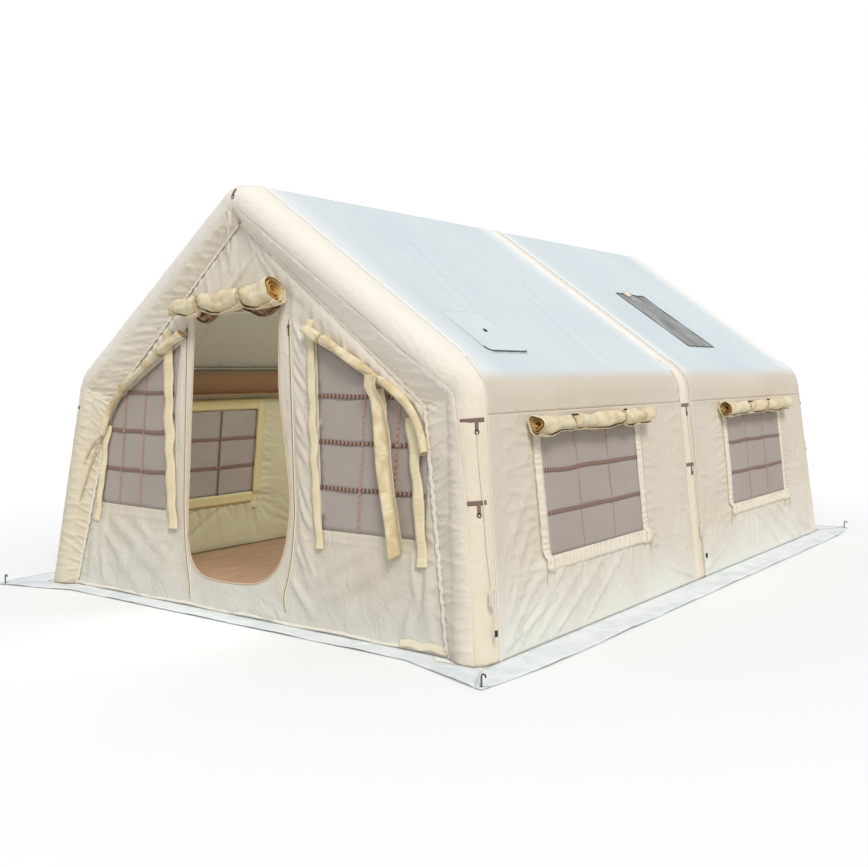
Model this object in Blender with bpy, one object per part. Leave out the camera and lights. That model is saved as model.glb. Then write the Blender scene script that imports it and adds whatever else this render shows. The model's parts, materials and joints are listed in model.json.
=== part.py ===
"""Inflatable house tent, 6 m long: air beams in cloth sleeves, a cloth roof and walls with net
windows, a zipped door that is rolled up, a ground skirt, guy ropes and pegs.

Metres, +Z up. The door gable faces -Y, and the origin is on the ground under the tent's middle.
"""

import math

import bmesh
import bpy
from mathutils import Matrix, Vector
from mathutils.geometry import delaunay_2d_cdt, intersect_line_line_2d

# The tent's own sizes
LENGTH = 5.72  # over the two end arches at the eaves
BASE_WIDTH = 4.0  # over the walls at the ground
EAVE_WIDTH = 3.66  # where the straight lines of wall and roof would meet
EAVE_HEIGHT = 1.57
PEAK_HEIGHT = 2.865  # where the two straight roof lines would meet, above the rounded ridge
FOOT_SPREAD = 0.16  # how much further out the end arches stand at their feet than at the eaves
PEAK_SPREAD = 0.065
CLOTH = 0.003
GAP = 0.0004

# Air beams and their sleeves, as distances from an arch's axis
ARCH_REACH = 0.120  # outside of the roof cloth
SLEEVE_RADIUS = 0.1165
SLEEVE_BORE = 0.1135
ARCH_RADIUS = 0.1130
BEAM_RADIUS = 0.100  # ridge and eave beams
BEAM_SHIFT = 0.016  # they lie this much nearer the cloth than the arch's axis
EAVE_CUT, PEAK_CUT = 0.07, 0.07  # where the mitred bends start, from the corner
SIDES = 16
BAND_HALF = 0.0995  # how far a sleeve's flat band goes along the tent from the arch's axis
SEAM_DEPTH = 0.0402  # from an end arch's axis out to the back of the gable cloth
SEAM_REACH = (0.135, 0.155, 0.165, 0.155, 0.1155, 0.111)  # its flap, in from the axis, foot to ridge

# Ground
FLOOR = 0.004
FOOT_Z = 0.0005  # the legs stand on the ground, in notches of the groundsheet
SKIRT_WIDTH = 0.257
TIP = (2.20, 3.32)

# Openings, heights above the ground
SEAM_Z = 1.36  # where the roof's valance ends and the walls start
WINDOW_Z = (0.495, 1.255)
WINDOW_Y = {"front": (-2.20, -0.94), "rear": (0.78, 2.05)}
DOOR = ((-0.50, 0.40), (-0.49, 0.31), (-0.41, 0.24), (-0.28, 0.212), (0.03, 0.212), (0.22, 0.245),
        (0.35, 0.33), (0.42, 0.45), (0.45, 0.60), (0.46, 0.80), (0.40, 1.15), (0.33, 1.50),
        (0.31, 1.98), (-0.50, 1.98))
GABLE_WINDOW = ((0.74, 0.63), (1.50, 0.63), (1.50, 1.09), (1.45, 1.27), (1.36, 1.40), (1.10, 1.55),
                (0.64, 1.79))
DOOR_HALF, DOOR_TOP = 0.62, 2.0  # the flat middle of the gable
DOOR_FOOT_Y = 2.94  # its distance from the tent's middle at the ground; it leans back from there
TAPE, TAPE_RISE = 0.026, 0.0015
NET = 0.0015
SKYLIGHT_Y, SKYLIGHT_X = (0.94, 1.51), (0.79, 1.48)
STOVE_Y, STOVE_X = (-2.355, -1.915), (1.24, 1.615)
PIPE_RADIUS = 0.062

ROPE = 0.006

HEX = {
    "cream sleeve": "F3E6D4", "wall cloth": "DFD3C2", "roof cloth": "DDE5E8", "brown sleeve": "8A6848",
    "net": "A0958F", "roll cloth": "F1E2BE", "inner net": "8D7C6A", "groundsheet": "9B7A62",
    "skirt": "DCE4EA", "film": "8A8985", "stove panel": "D3DBDD", "bladder": "E8E4DC",
    "zip": "A88A6A", "slider": "6E5B48", "rope": "EDE8DE", "black plastic": "1E1E1E",
    "peg steel": "5C5C5E",
}


def clear_scene():
    for thing in list(bpy.data.objects):
        bpy.data.objects.remove(thing)


def material(name, roughness=0.8, metallic=0.0):
    if name in bpy.data.materials:
        return bpy.data.materials[name]
    made = bpy.data.materials.new(name)
    made.use_nodes = True
    shader = made.node_tree.nodes["Principled BSDF"]
    channels = [int(HEX[name][i:i + 2], 16) / 255 for i in (0, 2, 4)]
    shader.inputs["Base Color"].default_value = (*(c ** 2.2 for c in channels), 1)
    shader.inputs["Roughness"].default_value = roughness
    shader.inputs["Metallic"].default_value = metallic
    return made


def finish(name, shape, finish_of):
    """Object made of a bmesh whose faces are turned to point outwards."""
    bmesh.ops.recalc_face_normals(shape, faces=shape.faces)
    data = bpy.data.meshes.new(name)
    shape.to_mesh(data)
    shape.free()
    data.shade_smooth()
    data.set_sharp_from_angle(angle=math.radians(38))
    data.materials.append(finish_of)
    made = bpy.data.objects.new(name, data)
    bpy.context.collection.objects.link(made)
    return made


def hide_tool(tool):
    tool.hide_render = True
    tool.display_type = "WIRE"


def combine(target, tool, operation):
    """Boolean of a hidden tool on the target."""
    hide_tool(tool)
    step = target.modifiers.new(tool.name, "BOOLEAN")
    step.operation = operation
    step.solver = "EXACT"
    step.object = tool


# Flat outlines


def inside(point, loop):
    """Whether a flat point is inside a closed outline, by counting the edges that it crosses."""
    x, y = point
    crossed = False
    for (x0, y0), (x1, y1) in zip(loop, (*loop[1:], loop[0])):
        if (y0 > y) != (y1 > y) and x < x0 + (y - y0) * (x1 - x0) / (y1 - y0):
            crossed = not crossed
    return crossed


def divided(line, step, closed):
    """The line with points added, so that no stretch is longer than step."""
    points = []
    ends = zip(line, (*line[1:], line[0])) if closed else zip(line, line[1:])
    for a, b in ends:
        a, b = Vector(a), Vector(b)
        count = max(1, math.ceil((b - a).length / step - 1e-6))
        points += [a.lerp(b, i / count) for i in range(count)]
    return points if closed else [*points, Vector(line[-1])]


def triangulated(loops, lines=(), extra=()):
    """Points and triangles of the first loop less the others, with every line as an edge."""
    points, edges = [], []
    for line, closed in [*((loop, True) for loop in loops), *((line, False) for line in lines)]:
        start = len(points)
        points += [Vector(p) for p in line]
        edges += [(start + i, start + i + 1) for i in range(len(line) - 1)]
        if closed:
            edges.append((start + len(line) - 1, start))
    points += [Vector(p) for p in extra]
    found, _, faces, *_ = delaunay_2d_cdt(points, edges, [], 0, 1e-5)
    kept = []
    for face in faces:
        middle = sum((found[i] for i in face), Vector((0, 0))) / len(face)
        if inside(middle, loops[0]) and not any(inside(middle, hole) for hole in loops[1:]):
            kept.append(tuple(face))
    return found, kept


def grid_inside(loop, step, lines):
    """Points on a square grid within the loop, clear of every line by part of a step."""
    low = [min(p[i] for p in loop) for i in (0, 1)]
    high = [max(p[i] for p in loop) for i in (0, 1)]
    counts = [max(1, round((high[i] - low[i]) / step)) for i in (0, 1)]
    near = [Vector(p) for line in lines for p in line]
    points = []
    for i in range(1, counts[0]):
        for j in range(1, counts[1]):
            point = Vector((low[0] + (high[0] - low[0]) * i / counts[0],
                            low[1] + (high[1] - low[1]) * j / counts[1]))
            if inside(point, loop) and all((point - p).length > 0.45 * step for p in near):
                points.append(point)
    return points


# Sheets


def cloth(name, outline, surface, finish_of, holes=(), creases=(), step=0.6, thick=CLOTH, raised=None):
    """Sheet with its outline, holes and creases drawn flat, laid on surface(u, v, depth).

    Where raised(u, v) is true, the outer face stands up by a tape's thickness.
    """
    loops = [divided(loop, step, True) for loop in (outline, *holes)]
    lines = [divided(line, step, False) for line in creases]
    extra = grid_inside(outline, step, [*loops, *lines])
    points, triangles = triangulated(loops, lines, extra)
    depths = {"tape": -TAPE_RISE, "top": 0.0, "under": thick}
    shape, corners = bmesh.new(), {}

    def corner(i, layer):
        if (i, layer) not in corners:
            corners[i, layer] = shape.verts.new(surface(*points[i], depths[layer]))
        return corners[i, layer]

    layers, sides = [], {}
    for triangle in triangles:
        middle = sum((points[i] for i in triangle), Vector((0, 0))) / 3
        layers.append("tape" if raised and raised(*middle) else "top")
        shape.faces.new([corner(i, layers[-1]) for i in triangle])
        shape.faces.new([corner(i, "under") for i in reversed(triangle)])
        for a, b in zip(triangle, (*triangle[1:], triangle[0])):
            sides.setdefault((min(a, b), max(a, b)), []).append(layers[-1])
    for (a, b), found in sides.items():
        if len(found) == 2 and found[0] != found[1]:
            shape.faces.new([corner(a, "top"), corner(b, "top"), corner(b, "tape"), corner(a, "tape")])
        elif len(found) == 1:
            rim = [corner(a, found[0]), corner(b, found[0])]
            if found[0] == "tape" and (b, "top") in corners:
                rim.append(corner(b, "top"))
            rim += [corner(b, "under"), corner(a, "under")]
            if found[0] == "tape" and (a, "top") in corners:
                rim.append(corner(a, "top"))
            shape.faces.new(rim)
    return finish(name, shape, finish_of)


def sweep(name, section, stations, place, finish_of):
    """Solid whose cross-section, section(k), is an outline and its holes, set by place(k, a, c)."""
    shape, rings = bmesh.new(), []
    for k in stations:
        rings.append([[shape.verts.new(place(k, a, c)) for a, c in loop] for loop in section(k)])
    for ring, following in zip(rings, rings[1:]):
        for near, far in zip(ring, following):
            for i in range(len(near)):
                j = (i + 1) % len(near)
                shape.faces.new((near[i], near[j], far[j], far[i]))
    for ring, k in ((rings[0], stations[0]), (rings[-1], stations[-1])):
        flat = [vertex for loop in ring for vertex in loop]
        for triangle in triangulated(section(k))[1]:
            shape.faces.new([flat[i] for i in triangle])
    return finish(name, shape, finish_of)


# The arches' axis and the shell around it


def set_in(line, distance):
    """An open line of straight stretches moved to its right-hand side's inside by a distance."""
    moved = []
    for a, b in zip(line, line[1:]):
        along = (b - a).normalized()
        shift = Vector((-along.y, along.x)) * distance
        moved.append((a + shift, b + shift))
    corners = [moved[0][0]]
    for (a, b), (c, d) in zip(moved, moved[1:]):
        corners.append(intersect_line_line_2d(a, b + (b - a), c - (d - c), d))
    return [*corners, moved[-1][1]]


def mitred(before, corner, after, cut):
    """A bend made of three equal mitres in place of a corner."""
    first, last = (corner - before).normalized(), (after - corner).normalized()
    turn = first.angle(last)
    start, end = corner - first * cut, corner + last * cut
    middle = (start + end) / 2
    rise = (corner - middle).normalized() * cut * math.cos(turn / 2) * math.tan(turn / 6)
    return [start, middle + rise, end]


def arch_axis():
    """Corners of an arch's axis, (x, z), from the right foot over the ridge to the left foot."""
    right = [Vector((BASE_WIDTH / 2, 0)), Vector((EAVE_WIDTH / 2, EAVE_HEIGHT))]
    left = [Vector((-p.x, p.y)) for p in reversed(right)]
    axis = set_in([*right, Vector((0, PEAK_HEIGHT)), *left], ARCH_REACH)
    leg = axis[1] - axis[0]
    axis[0] += leg * (FOOT_Z - axis[0].y) / leg.y
    axis[4] = Vector((-axis[0].x, axis[0].y))
    corners = [axis[0]]
    for i, cut in ((1, EAVE_CUT), (2, PEAK_CUT), (3, EAVE_CUT)):
        corners += mitred(axis[i - 1], axis[i], axis[i + 1], cut)
    return [*corners, axis[4]]


def mitre_vectors(line):
    """At each corner, the vector to a line one unit further out: level at the two feet."""
    normals = []
    for a, b in zip(line, line[1:]):
        along = (b - a).normalized()
        normals.append(Vector((along.y, -along.x)))
    inner = [(m + n) / (1 + m.dot(n)) for m, n in zip(normals, normals[1:])]
    return [Vector((1 / normals[0].x, 0)), *inner, Vector((1 / normals[-1].x, 0))]


AXIS = arch_axis()
MITRES = mitre_vectors(AXIS)
RIDGE, EAVE, FOOT = 5, 2, 0  # places in AXIS, on the right half


def end_y(z):
    """Distance of an end arch's axis from the tent's middle at height z."""
    eave, ridge = AXIS[EAVE].y, AXIS[RIDGE].y
    base = LENGTH / 2 - ARCH_REACH
    if z < eave:
        return base + FOOT_SPREAD * (eave - z) / eave
    return base + PEAK_SPREAD * (z - eave) / (ridge - eave)


def on_arch(arch, k, a, c):
    """Point at a out from the axis of arch -1, 0 or 1 and c along the tent, away from its middle."""
    outward = arch or 1
    point = AXIS[k] + MITRES[k] * a
    return Vector((point.x, outward * (abs(arch) * end_y(AXIS[k].y) + c), point.y))


def shell_lengths():
    """Length along the roof cloth's outside, ridge to ground, at each corner of the axis."""
    outer = [AXIS[k] + MITRES[k] * ARCH_REACH for k in range(RIDGE, FOOT - 1, -1)]
    lengths = [0.0]
    for a, b in zip(outer, outer[1:]):
        lengths.append(lengths[-1] + (b - a).length)
    return lengths


SHELL_S = shell_lengths()


def shell_spot(s):
    """Place s metres down the shell from the ridge: the axis corner above it, and the share past it."""
    i = max(n for n in range(RIDGE) if SHELL_S[n] <= s + 1e-9 or n == 0)
    return RIDGE - i, (s - SHELL_S[i]) / (SHELL_S[i + 1] - SHELL_S[i])


def shell_out(s, reach):
    """Point in (x, z), and the arch's distance from the tent's middle, s metres down from the ridge."""
    k, share = shell_spot(abs(s))
    near, far = AXIS[k] + MITRES[k] * reach, AXIS[k - 1] + MITRES[k - 1] * reach
    y = end_y(AXIS[k].y) + (end_y(AXIS[k - 1].y) - end_y(AXIS[k].y)) * share
    return near.lerp(far, share), y


def shell_point(s, y, depth, sag=0.0):
    """Point of the shell's cloth: s down from the ridge, towards +X or -X, and y along the tent.

    Sag draws it in between the arches' bands.
    """
    _, arch = shell_out(s, 0)
    share = (abs(y) - BAND_HALF) / (arch - 2 * BAND_HALF)
    point, _ = shell_out(s, ARCH_REACH - depth - sag * math.sin(math.pi * min(1, max(0, share))))
    return Vector((math.copysign(point.x, s), y, point.y))


def height_s(z):
    """How far down the shell's wall a height above the ground is."""
    foot, eave = (AXIS[k] + MITRES[k] * ARCH_REACH for k in (0, 1))
    share = (z - foot.y) / (eave.y - foot.y)
    return SHELL_S[RIDGE] + (SHELL_S[RIDGE - 1] - SHELL_S[RIDGE]) * share


def slope_s(x):
    """How far down the shell's roof slope a distance from the middle is."""
    upper, lower = (AXIS[k] + MITRES[k] * ARCH_REACH for k in (RIDGE - 1, RIDGE - 2))
    share = (x - upper.x) / (lower.x - upper.x)
    return SHELL_S[1] + (SHELL_S[2] - SHELL_S[1]) * share


SEAM_S = height_s(SEAM_Z)
GROUND_S = height_s(0.001)


def roof_sag(s):
    """Depth of the roof's sag at s: none over the ridge, eave and valance."""
    top, low = SHELL_S[1], SHELL_S[2]
    return 0.022 * math.sin(math.pi * min(1, max(0, (abs(s) - top) / (low - top))))


# Air beams


def circle(radius, sides=SIDES):
    return [(radius * math.cos(math.tau * i / sides), radius * math.sin(math.tau * i / sides))
            for i in range(sides)]


def arch_beam(name, arch):
    """Air bladder bent into a house-shaped arch with mitred corners."""
    stations = range(len(AXIS))
    return sweep(name, lambda k: [circle(ARCH_RADIUS)], stations,
                 lambda k, a, c: on_arch(arch, k, a, c), material("bladder", 0.45))


BAND_UNDER = ((0.1122, -0.031), (ARCH_REACH - CLOTH, -0.042), (ARCH_REACH - CLOTH, -BAND_HALF))


def band_section(k):
    """Middle sleeve: a tube with a flat band along its outside, that the bays' cloth meets."""
    mirrored = [(a, -c) for a, c in reversed(BAND_UNDER)]
    return [[(ARCH_REACH, -BAND_HALF), (ARCH_REACH, BAND_HALF), *mirrored, *circle(SLEEVE_RADIUS)[1:],
             *BAND_UNDER], circle(SLEEVE_BORE)]


def flap_section(k):
    """End sleeve: half a band on the bay's side, and a flap that the gable cloth is sewn to."""
    ring = circle(SLEEVE_RADIUS)
    tip, front = -SEAM_REACH[min(k, len(AXIS) - 1 - k)], SEAM_DEPTH + CLOTH
    return [[(ARCH_REACH, -BAND_HALF), (ARCH_REACH, -0.012), (0.1185, 0.012), *ring[1:8],
             (-0.1079, front), (tip, front), (tip, SEAM_DEPTH), (-0.1085, SEAM_DEPTH), *ring[8:],
             *BAND_UNDER], circle(SLEEVE_BORE)]


def ring_tool(name, centre, along, across, out):
    """Small flat ring of a webbing tee, round the centre."""
    shape, rings = bmesh.new(), []
    for i in range(8):
        t = math.tau * (i + 0.5) / 8
        way = along * math.sin(t) + across * math.cos(t)
        rings.append([shape.verts.new(centre + way * r + out * lift) for r, lift in
                      ((0.0085, -0.0022), (0.0145, -0.0022), (0.0145, 0.0022), (0.0085, 0.0022))])
    for near, far in zip(rings, (*rings[1:], rings[0])):
        for i in range(4):
            j = (i + 1) % 4
            shape.faces.new((near[i], near[j], far[j], far[i]))
    return finish(name, shape, material("zip"))


def bar_tool(name, near, far):
    """Closed bar between two outlines, split into quads where they are long strips."""
    shape, count = bmesh.new(), len(near)
    near, far = [[shape.verts.new(p) for p in loop] for loop in (near, far)]
    for i in range(count):
        j = (i + 1) % count
        shape.faces.new((near[i], near[j], far[j], far[i]))
    for loop in (near, far):
        for i in range(count // 2 - 1):
            shape.faces.new((loop[i], loop[i + 1], loop[count - 2 - i], loop[count - 1 - i]))
    return finish(name, shape, material("zip"))


def tee_tools(name, arch, side, z):
    """Webbing tee for a guy rope: a band across the sleeve, a short tab and its ring."""
    s = height_s(z)
    if arch:
        turn, reach = math.radians(33.75), 0.1136
        rounds = ((0.1165, 8), (0.1148, 22.5), (0.1148, 45), (0.1148, 67.5), (0.1136, 80), (0.1186, 80),
                  (0.1192, 67.5), (0.1192, 45), (0.1192, 22.5), (0.1217, 8))
        band = [(r * math.cos(t), r * math.sin(t)) for r, t in ((r, math.radians(t)) for r, t in rounds)]
    else:
        turn, reach = 0.0, 0.1205
        band = [(0.1185, -0.092), (0.1185, 0.048), (0.1222, 0.048), (0.1222, -0.092)]
    out, across = Vector((math.cos(turn), math.sin(turn))), Vector((-math.sin(turn), math.cos(turn)))

    def put(flat, drop):
        k, share = shell_spot(s + drop)
        point = on_arch(arch, k, *flat).lerp(on_arch(arch, k - 1, *flat), share)
        return Vector((side * point.x, point.y, point.z))

    pieces = [bar_tool(f"{name} band", *([put(flat, d) for flat in band] for d in (-0.013, 0.013)))]
    tab = [out * (reach + d) + across * e for d, e in ((0, -0.011), (0, 0.011), (0.0045, 0.011),
                                                      (0.0045, -0.011))]
    pieces.append(bar_tool(f"{name} tab", *([put(flat, d) for flat in tab] for d in (0.006, 0.062))))
    middle = out * (reach + 0.0052)
    centre = put(middle, 0.066)
    along, over = (put(middle, 0.09) - centre).normalized(), put(middle + across * 0.01, 0.066) - centre
    pieces.append(ring_tool(f"{name} ring", centre, along, over.normalized(),
                            along.cross(over).normalized()))
    return pieces


def apex_tools():
    """Webbing tab and ring over the front arch's top, for its guy rope."""
    pieces = []
    spots = [[on_arch(-1, RIDGE, r * math.cos(t), r * math.sin(t)) for r in (0.1140, 0.1200)]
             for t in map(math.radians, (48.5, 60, 72))]
    for near, far in zip(spots, spots[1:]):
        ends = [[p + Vector((x, 0, 0)) for x, p in ((-0.011, pair[0]), (0.011, pair[0]),
                                                   (0.011, pair[1]), (-0.011, pair[1]))]
                for pair in (near, far)]
        pieces.append(bar_tool(f"apex tab {len(pieces)}", *ends))
    along = (spots[2][0] - spots[1][0]).normalized()
    across = Vector((1, 0, 0))
    pieces.append(ring_tool("apex ring", spots[2][1] + along * 0.008, along, across,
                            along.cross(across).normalized()))
    return pieces


def arch_frame():
    """Three arches, each an air beam in a sleeve with webbing tees on its legs."""
    for name, arch in (("front", -1), ("middle", 0), ("rear", 1)):
        arch_beam(f"{name}_arch_beam", arch)
        sleeve = sweep(f"{name}_arch_sleeve", flap_section if arch else band_section,
                       range(len(AXIS)), lambda k, a, c, arch=arch: on_arch(arch, k, a, c),
                       material("cream sleeve"))
        for side in (-1, 1):
            for z in (1.335, 0.88):
                for tool in tee_tools(f"{name} tee {side} {z}", arch, side, z):
                    combine(sleeve, tool, "UNION")
        if name == "front":
            for tool in apex_tools():
                combine(sleeve, tool, "UNION")
        sleeve.modifiers.new("joined points", "WELD").merge_threshold = 0.00001


def long_beams():
    """Ridge and eave beams, each cut to a saddle where it meets an arch's sleeve."""
    wing = [(0.125, -0.1005), (0.125, 0.1005), (0.1164, 0.1005), (0.1164, 0.0425), (0.1122, 0.0326)]
    outline = [*wing, *circle(SLEEVE_RADIUS + 0.0006)[1:], (0.1122, -0.0326), (0.1164, -0.0425),
               (0.1164, -0.1005)]
    tools = {}
    for arch in (-1, 0, 1):
        tools[arch] = sweep(f"saddle {arch}", lambda k: [outline],
                            range(len(AXIS)), lambda k, a, c, arch=arch: on_arch(arch, k, a, c),
                            material("bladder"))
        hide_tool(tools[arch])
    for place, k in (("ridge", RIDGE), ("right_eave", EAVE), ("left_eave", len(AXIS) - 1 - EAVE)):
        centre = AXIS[k] + MITRES[k].normalized() * BEAM_SHIFT
        for bay, arch in (("front", -1), ("rear", 1)):
            shape = bmesh.new()
            reach = end_y(AXIS[k].y)
            turn = Matrix.Rotation(math.radians(90), 4, "X")
            where = Matrix.Translation((centre.x, arch * reach / 2, centre.y))
            bmesh.ops.create_cone(shape, cap_ends=True, segments=SIDES, radius1=BEAM_RADIUS,
                                  radius2=BEAM_RADIUS, depth=reach, matrix=where @ turn)
            beam = finish(f"{place}_beam_{bay}", shape, material("brown sleeve"))
            combine(beam, tools[arch], "DIFFERENCE")
            combine(beam, tools[0], "DIFFERENCE")


# Roof and walls


def bay_ends(arch, s):
    """Where a bay's cloth starts and ends, at the bands of the middle arch and the end arch."""
    _, y = shell_out(s, 0)
    return arch * (BAND_HALF + 0.0005), arch * (y - BAND_HALF - 0.0005)


def bay_outline(arch, stations):
    """Outline in (s, y) of a bay's cloth that has corners at the given places down the shell."""
    inner = [(s, bay_ends(arch, s)[0]) for s in stations]
    outer = [(s, bay_ends(arch, s)[1]) for s in reversed(stations)]
    return inner + outer


def bay_creases(arch, stations):
    """Lines across the bay at each corner of the shell."""
    return [[(s, y) for y in bay_ends(arch, s)] for s in stations[1:-1]]


def rectangle(s_ends, y_ends, inset=0.0):
    (a, b), (c, d) = sorted(s_ends), sorted(y_ends)
    a, b, c, d = a + inset, b - inset, c + inset, d - inset
    return [(a, c), (b, c), (b, d), (a, d)]


def roof_surface(s, y, depth):
    return shell_point(s, y, depth, roof_sag(s))


def roof_bay(bay, arch):
    """One bay's roof: both slopes in one piece, with a valance past each eave."""
    corners = [SEAM_S, *(SHELL_S[i] for i in (4, 3, 2, 1)), 0.0]
    stations = corners + [-s for s in reversed(corners[:-1])]
    if bay == "front":
        hole = rectangle([slope_s(x) for x in STOVE_X], STOVE_Y)
    else:
        hole = rectangle([slope_s(x) for x in SKYLIGHT_X], SKYLIGHT_Y)
    cloth(f"roof_{bay}_bay", bay_outline(arch, stations), roof_surface, material("roof cloth"),
          holes=[hole], creases=bay_creases(arch, stations))


def window_frame(bay):
    """Outline in (s, y) of a side window."""
    return rectangle([height_s(z) for z in WINDOW_Z], WINDOW_Y[bay])


def wall_surface(side):
    def surface(s, y, depth):
        swell = -0.012 * math.sin(math.pi * (s - SEAM_S) / (GROUND_S - SEAM_S))
        return shell_point(side * s, y, depth, swell)
    return surface


def side_wall(side_name, side, bay, arch):
    stations = [SEAM_S + GAP, GROUND_S]
    cloth(f"{side_name}_wall_{bay}", bay_outline(arch, stations), wall_surface(side),
          material("wall cloth"), holes=[window_frame(bay)], creases=bay_creases(arch, stations))


def net_bars(spans, others, columns, rows):
    """Creases beside each tape of a net's grid, and a test for being on a tape."""
    (a, b), (c, d) = sorted(spans), sorted(others)
    along = [a + (b - a) * i / rows for i in range(1, rows)]
    across = [c + (d - c) * i / columns for i in range(1, columns)]
    lines = []
    for u in along:
        lines += [[(u + e, c), (u + e, d)] for e in (-TAPE / 2, TAPE / 2)]
    for v in across:
        lines += [[(a, v + e), (b, v + e)] for e in (-TAPE / 2, TAPE / 2)]

    def on_tape(u, v):
        return any(abs(u - t) < TAPE / 2 for t in along) or any(abs(v - t) < TAPE / 2 for t in across)
    return lines, on_tape


def side_net(side_name, side, bay):
    """Window net with its grid of sewn tapes, set in the wall's opening."""
    s_ends, y_ends = [height_s(z) for z in WINDOW_Z], WINDOW_Y[bay]
    outline = rectangle(s_ends, y_ends, GAP)
    (a, c), (b, d) = outline[0], outline[2]
    lines, on_tape = net_bars((a, b), (c, d), 3, 3)
    place = wall_surface(side)
    cloth(f"{side_name}_window_net_{bay}", outline, lambda s, y, depth: place(s, y, depth + 0.0008),
          material("net"), creases=lines, raised=on_tape, thick=NET, step=0.9)


# Gables


def seam_corners():
    """Gable seam's corners in (x, z) with their distance from the tent's middle, right foot to ridge."""
    found = []
    for k in range(RIDGE + 1):
        point = AXIS[k] - MITRES[k] * (SEAM_REACH[k] + GAP)
        found.append((point, end_y(AXIS[k].y) + SEAM_DEPTH))
    return found


SEAM = seam_corners()


def between(z, values):
    """Value at height z on a rising list of (height, value)."""
    for (z0, v0), (z1, v1) in zip(values, values[1:]):
        if z <= z1 or z1 == values[-1][0]:
            return v0 + (v1 - v0) * (z - z0) / (z1 - z0)


def edge_y(z):
    """Distance of the gable cloth's edge from the tent's middle, along the seam at height z."""
    return between(z, [(p.y, y) for p, y in SEAM])


DOOR_LEAN = (DOOR_FOOT_Y - edge_y(DOOR_TOP)) / DOOR_TOP


def gable_y(x, z):
    """Distance of the gable cloth from the tent's middle: flat round the door, curved to its seam."""
    half = between(z, [(p.y, p.x) for p, _ in SEAM])
    if z >= DOOR_TOP or half <= DOOR_HALF:
        return edge_y(z)
    share = min(1, max(0, (half - abs(x)) / (half - DOOR_HALF)))
    return edge_y(z) + (DOOR_FOOT_Y - DOOR_LEAN * z - edge_y(z)) * share


def gable_surface(arch):
    def surface(x, z, depth):
        return Vector((x, arch * (gable_y(x, z) + CLOTH - depth), z))
    return surface


def gable_outline():
    right = [(p.x, p.y) for p, _ in SEAM]
    right[0] = (right[0][0], 0.001)
    left = [(-x, z) for x, z in reversed(right[:-1])]
    return right + left


def gable_walls():
    """Front gable with the door and two windows, and the plain rear gable."""
    left_window = [(-x, z) for x, z in GABLE_WINDOW]
    top = between(DOOR_TOP, [(p.y, p.x) for p, _ in SEAM])
    creases = [[(x, 0.001), (x, DOOR_TOP)] for x in (-DOOR_HALF, DOOR_HALF)]
    creases.append([(-top, DOOR_TOP), (top, DOOR_TOP)])
    creases += [[(-SEAM[k][0].x, SEAM[k][0].y), (SEAM[k][0].x, SEAM[k][0].y)] for k in (1, 2, 3, 4)]
    blocked = [SEAM[k][0].y for k in (1, 2, 3)]
    front = [line for line in creases if line[0][1] not in blocked]
    cloth("front_gable_wall", gable_outline(), gable_surface(-1), material("wall cloth"),
          holes=[DOOR, GABLE_WINDOW, left_window], creases=front, step=0.45)
    cloth("rear_gable_wall", gable_outline(), gable_surface(1), material("wall cloth"),
          creases=creases, step=0.7)


def gable_net(name, side):
    """Gable window net with its tapes, in the window's own sloping outline."""
    middle = Vector((1.2, 1.05))
    outline = []
    for x, z in GABLE_WINDOW:
        inward = (middle - Vector((x, z))).normalized() * 0.0012
        outline.append((side * (x + inward.x), z + inward.y))
    columns, rows = (1.03, 1.28), (0.89, 1.17, 1.45)
    edges = (-TAPE / 2, TAPE / 2)
    lines = [[(side * (x + e), 0.5), (side * (x + e), 1.9)] for x in columns for e in edges]
    lines += [[(side * 0.5, z + e), (side * 1.6, z + e)] for z in rows for e in edges]

    def on_tape(u, v):
        return any(abs(abs(u) - x) < TAPE / 2 for x in columns) or any(
            abs(v - z) < TAPE / 2 for z in rows)
    surface = gable_surface(-1)
    cloth(name, outline, lambda x, z, depth: surface(x, z, depth + 0.0008), material("net"),
          creases=lines, raised=on_tape, thick=NET, step=0.9)


# Rolled cloth


def tube(name, centres, radii, across, finish_of, sides=10, dish=True):
    """Round closed tube through the centres, each ring square to its way, with dished ends."""
    shape, rings = bmesh.new(), []
    steps = [centres[1] - centres[0], *(b - a for a, b in zip(centres, centres[2:])),
             centres[-1] - centres[-2]]
    plan = [(p, r, d.normalized()) for p, r, d in zip(centres, radii, steps)]
    if dish:
        (p, r, d), (q, t, e) = plan[0], plan[-1]
        plan = [(p + d * 0.03, r * 0.35, d), (p + d * 0.03, r * 0.5, d), (p, r * 0.62, d), *plan,
                (q, t * 0.62, e), (q - e * 0.03, t * 0.5, e), (q - e * 0.03, t * 0.35, e)]
    for centre, radius, way in plan:
        first = way.cross(across).normalized()
        second = way.cross(first)
        rings.append([shape.verts.new(centre + radius * (first * math.cos(math.tau * i / sides)
                                                         + second * math.sin(math.tau * i / sides)))
                      for i in range(sides)])
    for near, far in zip(rings, rings[1:]):
        for i in range(sides):
            j = (i + 1) % sides
            shape.faces.new((near[i], near[j], far[j], far[i]))
    shape.faces.new(rings[0])
    shape.faces.new(rings[-1])
    return finish(name, shape, finish_of)


def bulged(start, end, radius, ties, sag, count=12):
    """Centres and radii of a cloth roll tied at shares of its length, which sags between the ties."""
    stops = [0.0, *ties, 1.0]
    shares = sorted({*stops, *(i / count for i in range(count + 1))})
    centres, radii = [], []
    for share in shares:
        left = max(t for t in stops if t <= share)
        right = min(t for t in stops if t >= share)
        swell = math.sin(math.pi * (share - left) / (right - left)) if right > left else 0.0
        centres.append(start.lerp(end, share) + Vector((0, 0, -sag * swell)))
        radii.append(radius * ((0.84 if share in ties else 0.95) + 0.13 * swell))
    return centres, radii


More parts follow.
